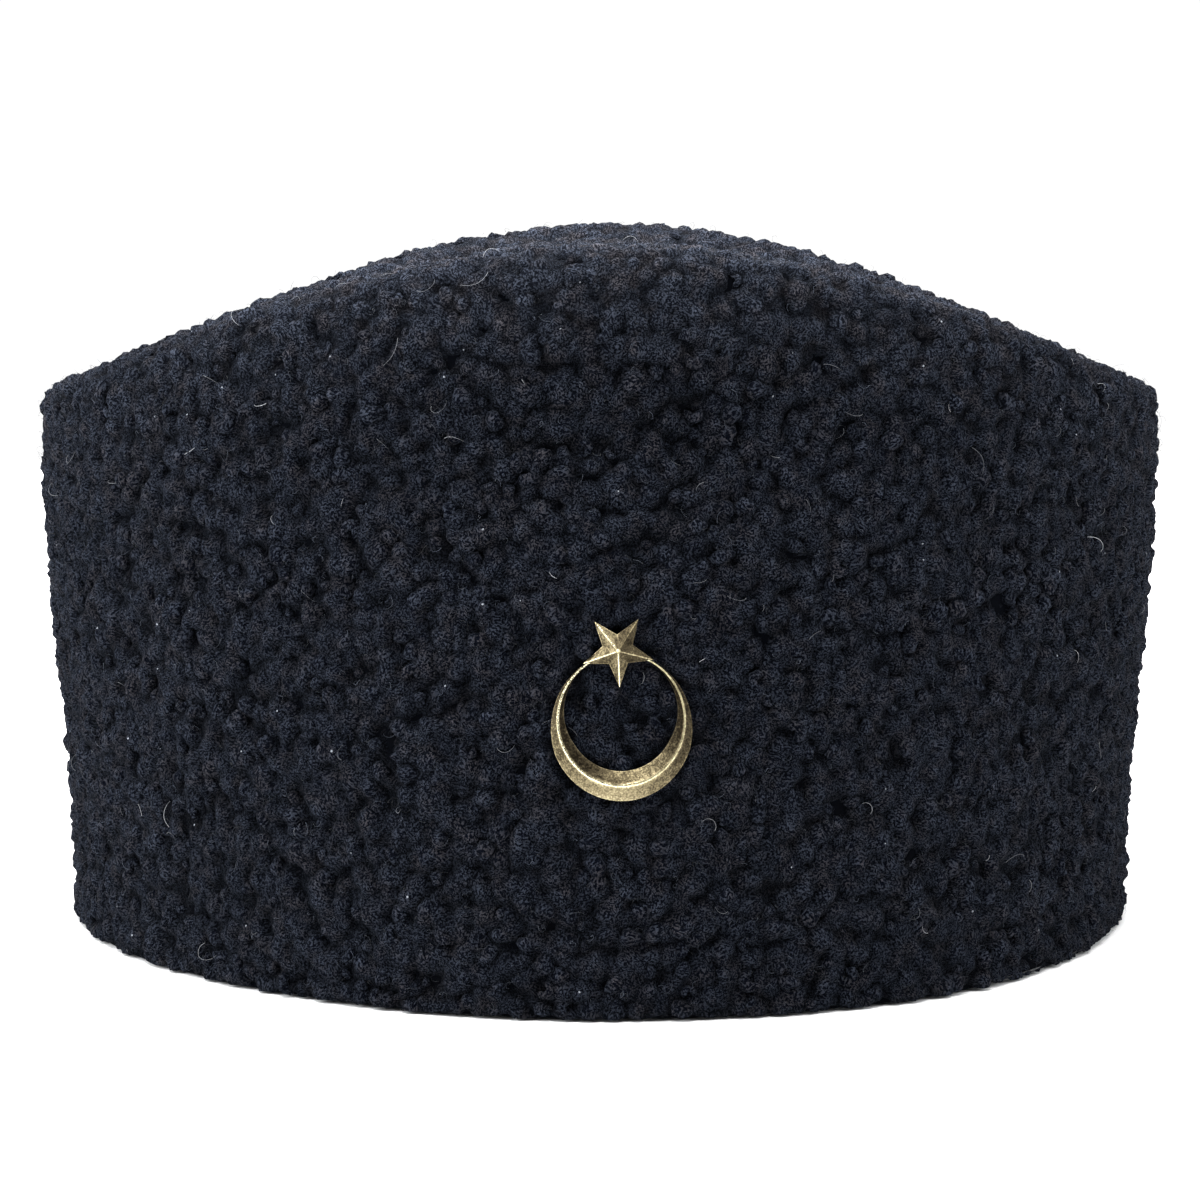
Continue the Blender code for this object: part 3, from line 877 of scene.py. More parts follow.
def crescent_mesh():
    """Points and faces of the crescent, closed at both horns."""
    shares = [2.0 * step / CRESCENT_STEPS - 1.0 for step in range(CRESCENT_STEPS + 1)]
    rows = [crescent_row(math.radians(CRESCENT_REACH_DEG) * share) for share in shares]
    count = len(rows[0])
    faces = [tuple(range(count)), tuple(range(CRESCENT_STEPS * count, (CRESCENT_STEPS + 1) * count))]
    faces += tube_faces(CRESCENT_STEPS, count)
    return [point for row in rows for point in row], faces


# %% Draw the star
STAR_CENTRE_RISE = 0.0118
STAR_TIP_RADIUS = 0.0063
STAR_NOTCH_RADIUS = 0.0027
STAR_POINTS = 5
STAR_PEAK_HEIGHT = 0.0019
STAR_ARM_STEPS = 8
RUBBED_WIDTH = 0.00016
STAR_ARM_LIGHT = (1.0, 0.66, 0.46, 1.25, 1.05)  # anticlockwise from the arm that points down; painted light, brighter on the arms to the left, towards the light
BOSS_RADIUS = 0.00045
BOSS_SIDES = 14
BOSS_RINGS = 4


def star_mesh():
    """Points and faces of the star: each half arm is a slope from its ridge down to its edge."""
    centre = Vector((0.0, STAR_CENTRE_RISE))
    points, faces = [], []

    def corner(number):
        angle = -math.pi / 2.0 + math.pi * number / STAR_POINTS
        radius = STAR_TIP_RADIUS if number % 2 == 0 else STAR_NOTCH_RADIUS
        return centre + Vector((math.cos(angle), math.sin(angle))) * radius

    def put(place, out, wear):
        points.append((place.x, place.y, out, wear))
        return len(points) - 1

    peak = RIM_THICKNESS + STAR_PEAK_HEIGHT
    for arm in range(STAR_POINTS):
        tip = corner(2 * arm)
        for notch in (corner(2 * arm - 1), corner(2 * arm + 1)):
            rows = []
            for step in range(STAR_ARM_STEPS + 1):
                along = step / STAR_ARM_STEPS
                ridge, edge = centre.lerp(tip, along), notch.lerp(tip, along)
                width = max((edge - ridge).length, 0.00001)
                rubbed_and_lit = min(RUBBED_WIDTH / width, 0.5)
                crest = peak + (RIM_THICKNESS - peak) * along
                row = [put(ridge, crest - 0.00004, STAR_ARM_LIGHT[arm])]
                for share, wear in ((rubbed_and_lit * 0.6, 0.9), (rubbed_and_lit * 1.4, 0.38), (0.9, 0.28), (1.0, 0.5)):
                    height = crest + (RIM_THICKNESS - crest) * share
                    row.append(put(ridge.lerp(edge, share), height, wear * STAR_ARM_LIGHT[arm]))
                row.append(put(edge, 0.0, 0.2))
                row.append(put(ridge, 0.0, 0.2))
                rows.append(row)
            for low, high in zip(rows, rows[1:]):
                faces += [(low[i], low[i + 1], high[i + 1], high[i]) for i in range(len(low) - 1)]
    first = len(points)
    for ring in range(BOSS_RINGS):
        polar = math.radians(90 - 30 * ring)
        for side in range(BOSS_SIDES):
            turn = math.tau * side / BOSS_SIDES
            way = Vector((math.cos(turn), math.sin(turn)))
            place = centre + way * BOSS_RADIUS * max(math.sin(polar), 0.02)
            put(place, peak - 0.0003 + BOSS_RADIUS * 1.3 * math.cos(polar), 0.75)
    faces += tube_faces(BOSS_RINGS - 1, BOSS_SIDES, first)
    faces.append(tuple(first + (BOSS_RINGS - 1) * BOSS_SIDES + side for side in range(BOSS_SIDES)))
    faces.append(tuple(first + side for side in reversed(range(BOSS_SIDES))))
    return points, faces


# %% [markdown]
# ## The badge, on the wall
#
# A flat drawing can't sit on a round wall, so it is wrapped. The wall round the badge is nearly a
# smooth bowl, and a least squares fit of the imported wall's own points gives its formula. Each point
# of the drawing then goes to the bowl's surface and out along its normal.

# %% Fit the wall round the badge
BADGE_X = 0.0036
BADGE_Z = 0.0527
BADGE_LEAN_DEG = 2.8
BADGE_GAP = 0.0003
FIT_REACH = 0.034
FRONT_Y = -0.070  # the wall round the badge is in front of this
NEIGHBOUR_REACH = 0.012
MOST_BEHIND = 0.0035
SHARP_BADGE_ANGLE = math.radians(38)


def bowl_terms(x, z):
    """The terms of the bowl's formula at a place counted from the badge."""
    return [1.0, x, z, x * x, x * z, z * z, x * x * z, z**3]


wall = frame["nodes"]["front_panel"].data
front = [v.co for v in wall.vertices if v.co.y < FRONT_Y]
near = [p for p in front if math.hypot(p.x - BADGE_X, p.z - BADGE_Z) < FIT_REACH]
# The inner side lies a wall's thickness behind. So a point that is far behind the foremost of its
# neighbours is left out.
foremost = [
    p for p in near if p.y < min(q.y for q in near if (q - p).length < NEIGHBOUR_REACH) + MOST_BEHIND]
bowl = np.linalg.lstsq(
    np.array([bowl_terms(p.x - BADGE_X, p.z - BADGE_Z) for p in foremost]),
    np.array([p.y for p in foremost]), rcond=None)[0]
misses = [abs(float(np.dot(bowl, bowl_terms(p.x - BADGE_X, p.z - BADGE_Z))) - p.y) for p in foremost]
print(f"the bowl passes {len(foremost)} points, at most {max(misses) * 1000:.2f} mm off")


# %% Wrap the drawing
def on_bowl(x, z):
    """The wall's point in front of a place."""
    return Vector((x, float(np.dot(bowl, bowl_terms(x - BADGE_X, z - BADGE_Z))), z))


def wrapped(right, up, out):
    """Where a point of the flat badge goes."""
    lean = math.radians(BADGE_LEAN_DEG)
    x = BADGE_X + right * math.cos(lean) - up * math.sin(lean)
    z = BADGE_Z + right * math.sin(lean) + up * math.cos(lean)
    step = 0.001
    along = on_bowl(x + step, z) - on_bowl(x - step, z)
    rise = on_bowl(x, z + step) - on_bowl(x, z - step)
    return on_bowl(x, z) + along.cross(rise).normalized() * (out + BADGE_GAP)


def cast_badge():
    """The crescent and the star as one piece of brass."""
    shell = bmesh.new()
    worn = shell.verts.layers.float.new("wear")
    for points, faces in (crescent_mesh(), star_mesh()):
        verts = []
        for right, up, out, wear in points:
            vert = shell.verts.new(wrapped(right, up, out))
            vert[worn] = wear
            verts.append(vert)
        for face in faces:
            shell.faces.new([verts[i] for i in face])
    bmesh.ops.remove_doubles(shell, verts=shell.verts, dist=0.000002)
    bmesh.ops.dissolve_degenerate(shell, edges=shell.edges, dist=0.000001)
    bmesh.ops.recalc_face_normals(shell, faces=shell.faces)
    mesh = bpy.data.meshes.new("brass_badge")
    shell.to_mesh(mesh)
    shell.free()
    mesh.shade_smooth()
    mesh.set_sharp_from_angle(angle=SHARP_BADGE_ANGLE)
    mesh.materials.append(aged_brass)
    return link("brass_badge", mesh)


badge = cast_badge()
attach(badge, "root")
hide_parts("badge")
foremost_y = min(v.co.y for v in badge.data.vertices)
print("the badge has", len(badge.data.polygons), "faces; it reaches y =", round(foremost_y, 4))

# %% Finish the staple
staple = frame["nodes"]["badge_staple"]
staple.data.materials.clear()
staple.data.materials.append(drawn_wire)

# %% [markdown]
# ## Spreading the curls
#
# One Geometry Nodes tree does it for every wall. It picks the hairy faces, drops points on them at
# least a curl's width apart, and puts a pattern on each point, turned to the wall's normal. Two
# slow noises lift and sink whole clumps, because real fleece isn't even. Near the badge the curls
# are pressed down. What would stick through the ground under the hem is flattened on it, as the
# cap's own weight does. The last nodes make the copies real and give them their material.

# %% Start a geometry tree
CURL_SPACING = 0.0032
FAR_CURL_SPACING = 0.0034
GROUND_CLEARANCE = 0.0002


def start_group(name, inputs):
    """A geometry tree with named inputs, as (bench, the wires of its inputs, their identifiers)."""
    group = bpy.data.node_groups.new(name, "GeometryNodeTree")
    identifiers = {}
    for label, kind, value in inputs:
        item = group.interface.new_socket(name=label, in_out="INPUT", socket_type=kind)
        if value is not None:
            item.default_value = value
        identifiers[label] = item.identifier
    group.interface.new_socket(name="Geometry", in_out="OUTPUT", socket_type="NodeSocketGeometry")
    bench = Bench(group)
    entry = group.nodes.new("NodeGroupInput")
    return bench, {label: Wire(bench, entry.outputs[label]) for label in identifiers}, identifiers


def scaled(bench, vector, factor):
    """A vector times a number."""
    return bench.add("ShaderNodeVectorMath", {"operation": "SCALE"}, {0: vector, "Scale": factor})


def random_value(bench, low, high, seed):
    """A different number for each point."""
    values = {2: low, 3: high, "Seed": seed}
    return bench.add("FunctionNodeRandomValue", {"data_type": "FLOAT"}, values, out=1)


def random_turn(bench, tilt, seed):
    """Any turn about the normal, after a small tilt."""
    values = {0: (-tilt, -tilt, 0.0), 1: (tilt, tilt, math.tau), "Seed": seed}
    euler = bench.add("FunctionNodeRandomValue", {"data_type": "FLOAT_VECTOR"}, values)
    return bench.add("FunctionNodeEulerToRotation", values={0: euler})


def distance_to(bench, item):
    """How far a point is from an object's faces."""
    shape = bench.add("GeometryNodeObjectInfo", values={"Object": item}, out="Geometry")
    return bench.add("GeometryNodeProximity", values={0: shape}, out="Distance")


def drop(bench, geometry, chosen, domain):
    """Deletes the chosen points or faces."""
    return bench.add("GeometryNodeDeleteGeometry", {"domain": domain}, {
        "Geometry": geometry, "Selection": chosen})


def store(bench, geometry, domain, name, kind, value):
    """Keeps a value on the geometry under a name."""
    return bench.add("GeometryNodeStoreNamedAttribute", {"data_type": kind, "domain": domain}, {
        "Geometry": geometry, "Name": name, "Value": value})


# %% [markdown]
# ### Which faces carry wool
#
# A face or point is hairy if it looks outwards or up, or if it is on the rim's inner edge, above
# the crown and near to it. Underneath the hem nothing is. A long face may be hairy in its middle
# alone, so each point that was dropped on a face is asked again where it fell.

# %% Ask where wool grows
# Where the curls are brushed lower and the wool takes a painted sheen: near the crown's edge, most in the
# arch's middle.
WORN_AND_LIT_FROM = 0.004
WORN_AND_LIT_OVER = 0.014
WORN_AND_LIT_LOW_END = 0.108  # the arch's middle is lit and worn more than its ends
WORN_AND_LIT_HIGH_END = 0.130
WORN_AND_LIT_LEAST = 0.25
CROWN_HALVES = (*(max(abs(p[axis]) for p in crown_points_of_edge) for axis in (0, 1)), 1.0)
# Where the crown's wool starts to rise and where it is down again, as shares of its half width.
FILL_START, FILL_START_OVER = 0.85, 0.08
FILL_END, FILL_END_OVER = 1.025, 0.05


def is_hairy(bench, given, normal=None):
    """1 where a face or point carries wool, otherwise 0."""
    place = bench.add("GeometryNodeInputPosition")
    face_normal = bench.add("GeometryNodeInputNormal")
    face_nz = split(bench, face_normal, "Z")
    normal = normal or face_normal
    x = split(bench, place, "X")
    nx = split(bench, normal, "X")
    y, ny, nz = x.side("Y"), nx.side("Y"), nx.side("Z")
    outward = (x * nx + y * ny) / (x * x + y * y + 0.000001).math("SQRT")
    crown = bench.add("GeometryNodeObjectInfo", values={"Object": given["Crown"]}, out="Geometry")
    crown_top = drop(bench, crown, face_nz.math("LESS_THAN", LEAST_UP), "FACE")
    away = bench.add("GeometryNodeProximity", values={0: crown_top}, out="Distance")
    edge_z = split(bench, away.side("Position"), "Z")
    over_rim = (given["Rim reach"] - away).math("MINIMUM", x.side("Z") - edge_z + BELOW_CROWN_EDGE)
    over_rim = over_rim.math("MINIMUM", nz + RIM_TURN)
    outside = (outward - given["Least outward"]).math("MAXIMUM", nz - UPWARD_WOOL)
    hairy = outside.math("MAXIMUM", over_rim)
    return hairy.math("MINIMUM", nz + HEM_TURN).math("GREATER_THAN", 0.0)


def keep_hairy(bench, geometry, given, domain, normal=None):
    """Deletes what carries no wool."""
    bare = 1.0 - is_hairy(bench, given, normal)
    return drop(bench, geometry, bare.math("GREATER_THAN", 0.5), domain)


def worn_and_lit_near_rim(bench, given):
    """How much the curls are brushed lower and take a painted sheen: most at the rim, nothing a little way
    down.
    """
    away = distance_to(bench, given["Crown"])
    z = split(bench, bench.add("GeometryNodeInputPosition"), "Z")
    share = ((z - WORN_AND_LIT_LOW_END) / (WORN_AND_LIT_HIGH_END - WORN_AND_LIT_LOW_END)).kept_in(0.0, 1.0)
    high = share * (1.0 - WORN_AND_LIT_LEAST) + WORN_AND_LIT_LEAST
    return (1.0 - (away - WORN_AND_LIT_FROM) / WORN_AND_LIT_OVER).kept_in(0.0, 1.0) * high * given["Worn"]


def edge_fill(bench, given):
    """How far the crown's wool is raised towards its edge, where it fills the corner by the rim."""
    place = bench.add("GeometryNodeInputPosition")
    share = vector_math(bench, "DIVIDE", place, CROWN_HALVES)
    flat = vector_math(bench, "MULTIPLY", share, (1.0, 1.0, 0.0))
    out = bench.add("ShaderNodeVectorMath", {"operation": "LENGTH"}, {0: flat}, out="Value")
    rising, falling = (out - FILL_START) / FILL_START_OVER, (FILL_END - out) / FILL_END_OVER
    return rising.math("MINIMUM", falling).kept_in(0.0, 1.0) * given["Edge fill"]


def keep_side(bench, geometry, side, domain):
    """Deletes what is on the other side of the middle. A side of 0 keeps all."""
    x = split(bench, bench.add("GeometryNodeInputPosition"), "X")
    return drop(bench, geometry, (x * side).math("LESS_THAN", 0.0), domain)


def above_ground(bench, geometry):
    """Flattens on the ground what would reach below it."""
    place = bench.add("GeometryNodeInputPosition")
    x = split(bench, place, "X")
    height = x.side("Z").math("MAXIMUM", GROUND_CLEARANCE)
    level = bench.add("ShaderNodeCombineXYZ", values={0: x, 1: x.side("Y"), 2: height})
    return bench.add("GeometryNodeSetPosition", values={"Geometry": geometry, "Position": level})


def finish_group(bench, geometry, material):
    """Makes the copies real, shades them smooth and gives them their material."""
    real = bench.add("GeometryNodeRealizeInstances", values={0: geometry})
    level = above_ground(bench, real)
    smooth = bench.add("GeometryNodeSetShadeSmooth", values={0: level})
    painted = bench.add("GeometryNodeSetMaterial", values={"Geometry": smooth, "Material": material})
    exit_node = bench.tree.nodes.new("NodeGroupOutput")
    bench.join(painted, exit_node.inputs[0])


# %% Build the curl tree
SLOW_CLUMPS = 60.0  # per metre
QUICK_CLUMPS = 170.0
QUICK_SHARE = 0.7
# By the distance from the badge: a curl is pressed under it, and hugs it close beside it.
PRESSED_FROM, PRESSED_OVER = 0.0004, 0.0005
HUGGING_AT, HUGGING_OVER = 0.0014, 0.0008
CURL_JITTER = 0.0004
WORN_DEPTH = 0.0008  # brushed curls lie lower
CURL_TILT = 0.42
SMALLEST_CURL, LARGEST_CURL = 0.66, 1.26
DRIFTS = (31.0, 57.0, 17.0)  # times the tone, in millimetres of the fibre pattern


def curl_tree():
    """Spreads curls over the hairy faces of a wall."""
    bench, given, identifiers = start_group("curled_fleece", (
        ("Geometry", "NodeSocketGeometry", None),
        ("Patterns", "NodeSocketCollection", None),
        ("Badge", "NodeSocketObject", None),
        ("Material", "NodeSocketMaterial", None),
        ("Spacing", "NodeSocketFloat", CURL_SPACING),
        ("Crowding", "NodeSocketFloat", 5.0),
        ("Seat depth", "NodeSocketFloat", 0.00170),
        ("Edge fill", "NodeSocketFloat", 0.0),
        ("Worn", "NodeSocketFloat", 1.0),
        ("Clump height", "NodeSocketFloat", 0.0008),
        ("Pressed depth", "NodeSocketFloat", 0.0003),
        ("Hugging lift", "NodeSocketFloat", 0.0016),
        ("Least outward", "NodeSocketFloat", OUTWARD_WOOL),
        ("Crown", "NodeSocketObject", None),
        ("Rim reach", "NodeSocketFloat", RIM_REACH),
        ("Side", "NodeSocketFloat", 0.0),
        ("Seed", "NodeSocketInt", 1),
    ))
    spacing, seed = given["Spacing"], given["Seed"]
    spread = bench.add("GeometryNodeDistributePointsOnFaces", {"distribute_method": "POISSON"}, {
        "Mesh": given["Geometry"], "Selection": is_hairy(bench, given),
        "Distance Min": spacing, "Density Max": given["Crowding"] / (spacing * spacing), "Seed": seed,
    })
    points = keep_hairy(bench, spread, given, "POINT", spread.side("Normal"))
    points = keep_side(bench, points, given["Side"], "POINT")
    place = bench.add("GeometryNodeInputPosition")
    slow = noise(bench, place, SLOW_CLUMPS, 1.0)
    quick = noise(bench, place, QUICK_CLUMPS, 0.0)
    away = distance_to(bench, given["Badge"])
    pressed = (1.0 - (away - PRESSED_FROM) / PRESSED_OVER).kept_in(0.0, 1.0)
    hugging = (1.0 - (away - HUGGING_AT).math("ABSOLUTE") / HUGGING_OVER).kept_in(0.0, 1.0)
    clump_height = given["Clump height"]
    clumps = (slow - 0.5) * clump_height + (quick - 0.5) * clump_height * QUICK_SHARE
    lift = clumps * (1.0 - pressed) - given["Seat depth"] - pressed * given["Pressed depth"]
    worn = worn_and_lit_near_rim(bench, given)
    jitter = random_value(bench, -CURL_JITTER, CURL_JITTER, seed + 5) * (1.0 - pressed)
    lift = lift + hugging * given["Hugging lift"] + jitter
    lift = lift - worn.kept_in(0.0, 1.0) * WORN_DEPTH + edge_fill(bench, given)
    seated = bench.add("GeometryNodeSetPosition", values={
        "Geometry": points, "Offset": scaled(bench, spread.side("Normal"), lift)})
    turned = bench.add("FunctionNodeRotateRotation", {"rotation_space": "LOCAL"}, {
        0: spread.side("Rotation"), 1: random_turn(bench, CURL_TILT, seed + 1)})
    size = random_value(bench, SMALLEST_CURL, LARGEST_CURL, seed + 2)
    size = size * (quick * 0.56 + 0.72) * (1.0 - pressed * 0.25)
    patterns = bench.add("GeometryNodeCollectionInfo", values={
        "Collection": given["Patterns"], "Separate Children": True, "Reset Children": True})
    choice = random_value(bench, 0.0, KNOT_PATTERNS + HOOK_PATTERNS, seed + 3).math("FLOOR")
    copies = bench.add("GeometryNodeInstanceOnPoints", values={
        "Points": seated, "Instance": patterns, "Pick Instance": True, "Instance Index": choice,
        "Rotation": turned, "Scale": size})
    tone = random_value(bench, 0.1, 0.9, seed + 4)
    drift = bench.add("ShaderNodeCombineXYZ", values={
        axis: tone * factor for axis, factor in enumerate(DRIFTS)})
    copies = store(bench, copies, "INSTANCE", "tone", "FLOAT", tone)
    # The rim value carries the painted sheen to the material.
    copies = store(bench, copies, "INSTANCE", "worn", "FLOAT", worn)
    copies = store(bench, copies, "INSTANCE", "drift", "FLOAT_VECTOR", drift)
    finish_group(bench, copies, given["Material"])
    return bench.tree, identifiers


curls, curl_inputs = curl_tree()

# %% Run a tree on a wall and keep the mesh
# On the crown the curls are brushed lower and the painted sheen is stronger.
CROWN_WORN_AND_LIT = 1.2
CROWN_EDGE_FILL = 0.0023


def kept(name, host, node):
    """The mesh of an object once its modifiers have run, as a piece on this node."""
    depsgraph = bpy.context.evaluated_depsgraph_get()
    mesh = bpy.data.meshes.new_from_object(
        host.evaluated_get(depsgraph), preserve_all_data_layers=True, depsgraph=depsgraph)
    mesh.name = name
    bpy.data.objects.remove(host, do_unlink=True)
    made = link(name, mesh)
    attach(made, "root")
    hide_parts(node)
    print(name, "has", sum(len(p.vertices) - 2 for p in mesh.polygons), "triangles")
    return made


def grown(name, node, tree, identifiers, even=0.0, **values):
    """Runs a tree on a copy of a packed wall, made of even squares if asked, and keeps the mesh."""
    host = link(name + "_ground", merged_copy(node))
    if even > 0.0:
        squares = host.modifiers.new("squares", "REMESH")
        squares.mode = "VOXEL"
        squares.voxel_size = even
    modifier = host.modifiers.new("grow", "NODES")
    modifier.node_group = tree
    values["Crown"] = frame["nodes"]["crown"]
    if node == "crown":
        values |= {"Least_outward": 2.0, "Rim_reach": -1.0}
        if "Worn" in identifiers:
            values |= {"Worn": CROWN_WORN_AND_LIT, "Edge_fill": CROWN_EDGE_FILL}
    for label, value in values.items():
        modifier[identifiers[label.replace("_", " ")]] = value
    return kept(name, host, node)


# %% [markdown]
# ## The felt under the curls
#
# Between the curls one would see the bare wall, so a second tree makes a ground of close low lumps.
# It cuts the hairy side out of an even copy of the wall and raises it. A smooth cell texture, bent
# by noise, gives the lumps, and each cell has its own tone. The ground sinks under the badge and
# swells round it.

# %% Build the felt tree
WANDER_PER_METRE = 230.0
WANDER = 0.0026  # how far the noise shifts the cells
LUMP_SMOOTHNESS, SMALL_LUMP_SMOOTHNESS = 0.18, 0.4
SMALL_LUMPS = 2.3  # across a lump
LUMP_FOOT = 0.62  # share of the lump height that is sunk below the wall's surface
SMALL_LUMP_DEPTH = 0.45
FREE_FROM, FREE_OVER = 0.0008, 0.0008  # by the distance from the badge
SWELL_AT, SWELL_OVER, SWELL_HEIGHT = 0.0017, 0.0009, 0.0010
UNDER_BADGE = -0.0001
TUCKED_OVER, TUCKED_DEPTH = 0.12, 0.0018  # where the felt ends below the hem
HEM_FULLNESS = 0.0012


def felt_tree():
    """Raises the hairy side of an even wall into close lumps, each with its own tone and grain."""
    bench, given, identifiers = start_group("felted_lumps", (
        ("Geometry", "NodeSocketGeometry", None),
        ("Badge", "NodeSocketObject", None),
        ("Material", "NodeSocketMaterial", None),
        ("Lump width", "NodeSocketFloat", 0.0033),
        ("Lump height", "NodeSocketFloat", 0.0019),
        ("Edge fill", "NodeSocketFloat", 0.0),
        ("Clump height", "NodeSocketFloat", 0.0008),
        ("Worn", "NodeSocketFloat", 1.0),
        ("Least outward", "NodeSocketFloat", OUTWARD_WOOL),
        ("Crown", "NodeSocketObject", None),
        ("Rim reach", "NodeSocketFloat", RIM_REACH),
        ("Side", "NodeSocketFloat", 0.0),
    ))
    sheet = keep_hairy(bench, given["Geometry"], given, "FACE")
    sheet = keep_side(bench, sheet, given["Side"], "FACE")
    place = bench.add("GeometryNodeInputPosition")
    wander = noise(bench, place, WANDER_PER_METRE, 1.0, out="Color")
    wander = vector_math(bench, "SUBTRACT", wander, (0.5, 0.5, 0.5))
    bent = vector_math(bench, "ADD", place, scaled(bench, wander, WANDER))
    cells = 1.0 / given["Lump width"]
    smooth = bench.add("ShaderNodeTexVoronoi", {"feature": "SMOOTH_F1"}, {
        "Vector": bent, "Scale": cells, "Smoothness": LUMP_SMOOTHNESS}, out="Distance")
    own = bench.add("ShaderNodeTexVoronoi", {"feature": "F1"}, {
        "Vector": bent, "Scale": cells}, out="Color")
    tone = split(bench, own, "X")
    dome = (1.0 - (smooth * 1.2) * (smooth * 1.2)).kept_in(0.0, 1.0)
    small = bench.add("ShaderNodeTexVoronoi", {"feature": "SMOOTH_F1"}, {
        "Vector": bent, "Scale": cells * SMALL_LUMPS, "Smoothness": SMALL_LUMP_SMOOTHNESS}, out="Distance")
    slow = noise(bench, place, SLOW_CLUMPS, 1.0)
    away = distance_to(bench, given["Badge"])
    free = ((away - FREE_FROM) / FREE_OVER).kept_in(0.0, 1.0)
    swell = (1.0 - (away - SWELL_AT).math("ABSOLUTE") / SWELL_OVER).kept_in(0.0, 1.0) * SWELL_HEIGHT
    lumps = dome * (tone * 0.4 + 0.70) - LUMP_FOOT - small * SMALL_LUMP_DEPTH
    lumps = lumps * given["Lump height"]
    # Painted shade: the tip value is low in the creases between the lumps, and the wool's colour darkens
    # there.
    tip = (dome * 1.15 - small * 0.35).kept_in(0.0, 1.0)
    raised = lumps + (slow - 0.45) * given["Clump height"] + swell + edge_fill(bench, given)
    raised = raised * free + (1.0 - free) * (raised.math("MINIMUM", UNDER_BADGE))
    normal = bench.add("GeometryNodeInputNormal")
    nz = split(bench, normal, "Z")
    tucked = (1.0 - (nz + HEM_TURN) / TUCKED_OVER).kept_in(0.0, 1.0) * TUCKED_DEPTH
    raised = raised + (nz * -1.0).kept_in(0.0, 0.8) * HEM_FULLNESS
    # The values are stored before the sheet is raised, so that the lumps don't shift the pattern.
    sheet = store(bench, sheet, "POINT", "tip", "FLOAT", tip)
    sheet = store(bench, sheet, "POINT", "tone", "FLOAT", tone)
    sheet = store(bench, sheet, "POINT", "worn", "FLOAT", worn_and_lit_near_rim(bench, given))
    lock = scaled(bench, bent, 1.0 / MILLIMETRE)
    sheet = store(bench, sheet, "POINT", "lock", "FLOAT_VECTOR", lock)
    moved = bench.add("GeometryNodeSetPosition", values={
        "Geometry": sheet, "Offset": scaled(bench, normal, raised - tucked)})
    finish_group(bench, moved, given["Material"])
    return bench.tree, identifiers


felt, felt_inputs = felt_tree()

# %% Raise the felt
FRONT_SQUARE = 0.00074
FAR_SQUARE = 0.00090
FELT = (
    ("front_felt_left", "front_panel", -1.0, FRONT_SQUARE, "panel_fleece"),
    ("front_felt_right", "front_panel", 1.0, FRONT_SQUARE, "panel_fleece"),
    ("back_felt_left", "back_panel", -1.0, FAR_SQUARE, "panel_fleece"),
    ("back_felt_right", "back_panel", 1.0, FAR_SQUARE, "panel_fleece"),
    ("crown_felt", "crown", 0.0, FAR_SQUARE, "crown_fleece"),
)
for name, node, side, square, slot_name in FELT:
    piece = grown(name, node, felt, felt_inputs, even=square, Badge=badge, Material=wool, Side=side)

# %% Grow the fleece
FLEECE = (
    ("front_curls_left", "front_panel", -1.0, CURL_SPACING, 3, "panel_fleece"),
    ("front_curls_right", "front_panel", 1.0, CURL_SPACING, 3, "panel_fleece"),
    ("back_curls_left", "back_panel", -1.0, FAR_CURL_SPACING, 21, "panel_fleece"),
    ("back_curls_right", "back_panel", 1.0, FAR_CURL_SPACING, 21, "panel_fleece"),
    ("crown_curls", "crown", 0.0, FAR_CURL_SPACING, 40, "crown_fleece"),
)
for name, node, side, spacing, seed, slot_name in FLEECE:
    piece = grown(
        name, node, curls, curl_inputs, Patterns=locks, Badge=badge, Material=wool, Side=side,
        Spacing=spacing, Seed=seed)

# %% Build the stitch tree
def stitch_tree():
    """Puts a stitch on each mark along a seam."""
    bench, given, identifiers = start_group("whip_stitches", (
        ("Geometry", "NodeSocketGeometry", None),
        ("Stitch", "NodeSocketObject", None),
        ("Material", "NodeSocketMaterial", None),
        ("Least size", "NodeSocketFloat", 0.88),
        ("Seed", "NodeSocketInt", 5),
    ))
    thread = bench.add("GeometryNodeObjectInfo", values={"Object": given["Stitch"]}, out="Geometry")
    turn = bench.add("GeometryNodeInputNamedAttribute", {"data_type": "FLOAT_VECTOR"}, {"Name": "turn"})
    rotation = bench.add("FunctionNodeEulerToRotation", values={0: turn})
    copies = bench.add("GeometryNodeInstanceOnPoints", values={
        "Points": given["Geometry"], "Instance": thread, "Rotation": rotation,
        "Scale": random_value(bench, given["Least size"], 1.1, given["Seed"])})
    finish_group(bench, copies, given["Material"])
    return bench.tree, identifiers


stitches, stitch_inputs = stitch_tree()

# %% Sew the seams
stitch = stitch_pattern()
bpy.context.scene.collection.objects.link(stitch)


def sewn(name, path, closed, node):
    """Runs the stitch tree on the marks along a seam and keeps the mesh."""
    host = stitch_marks(name + "_marks", path, closed)
    modifier = host.modifiers.new("sew", "NODES")
    modifier.node_group = stitches
    modifier[stitch_inputs["Stitch"]] = stitch
    modifier[stitch_inputs["Material"]] = waxed_thread
    return kept(name, host, node)


CORNER_GAP = 0.0006
for side, places in side_seams.items():
    off = Vector((-math.copysign(1.0, places[0][0]), 0.0, 0.0))
    path = [(Vector((inner, 0.0, z)), off) for inner, outer, z in places]
    sewn(f"side_stitches_{side}", path[1:-1], False, "front_panel")
path = []
for place, way, low in crown_ring:
    off = (-way + Vector((0.0, 0.0, -1.0))).normalized()
    path.append((Vector((place.x, place.y, low)) + off * CORNER_GAP, off))
sewn("crown_stitches", path, True, "crown")
bpy.data.objects.remove(stitch, do_unlink=True)

# %% [markdown]
# ## Loose hairs
#
# At the outline every fleece shows a haze of single hairs, and a few pale ones lie on top. They are
# thin bent tubes with three sides, spread by a tree of their own.

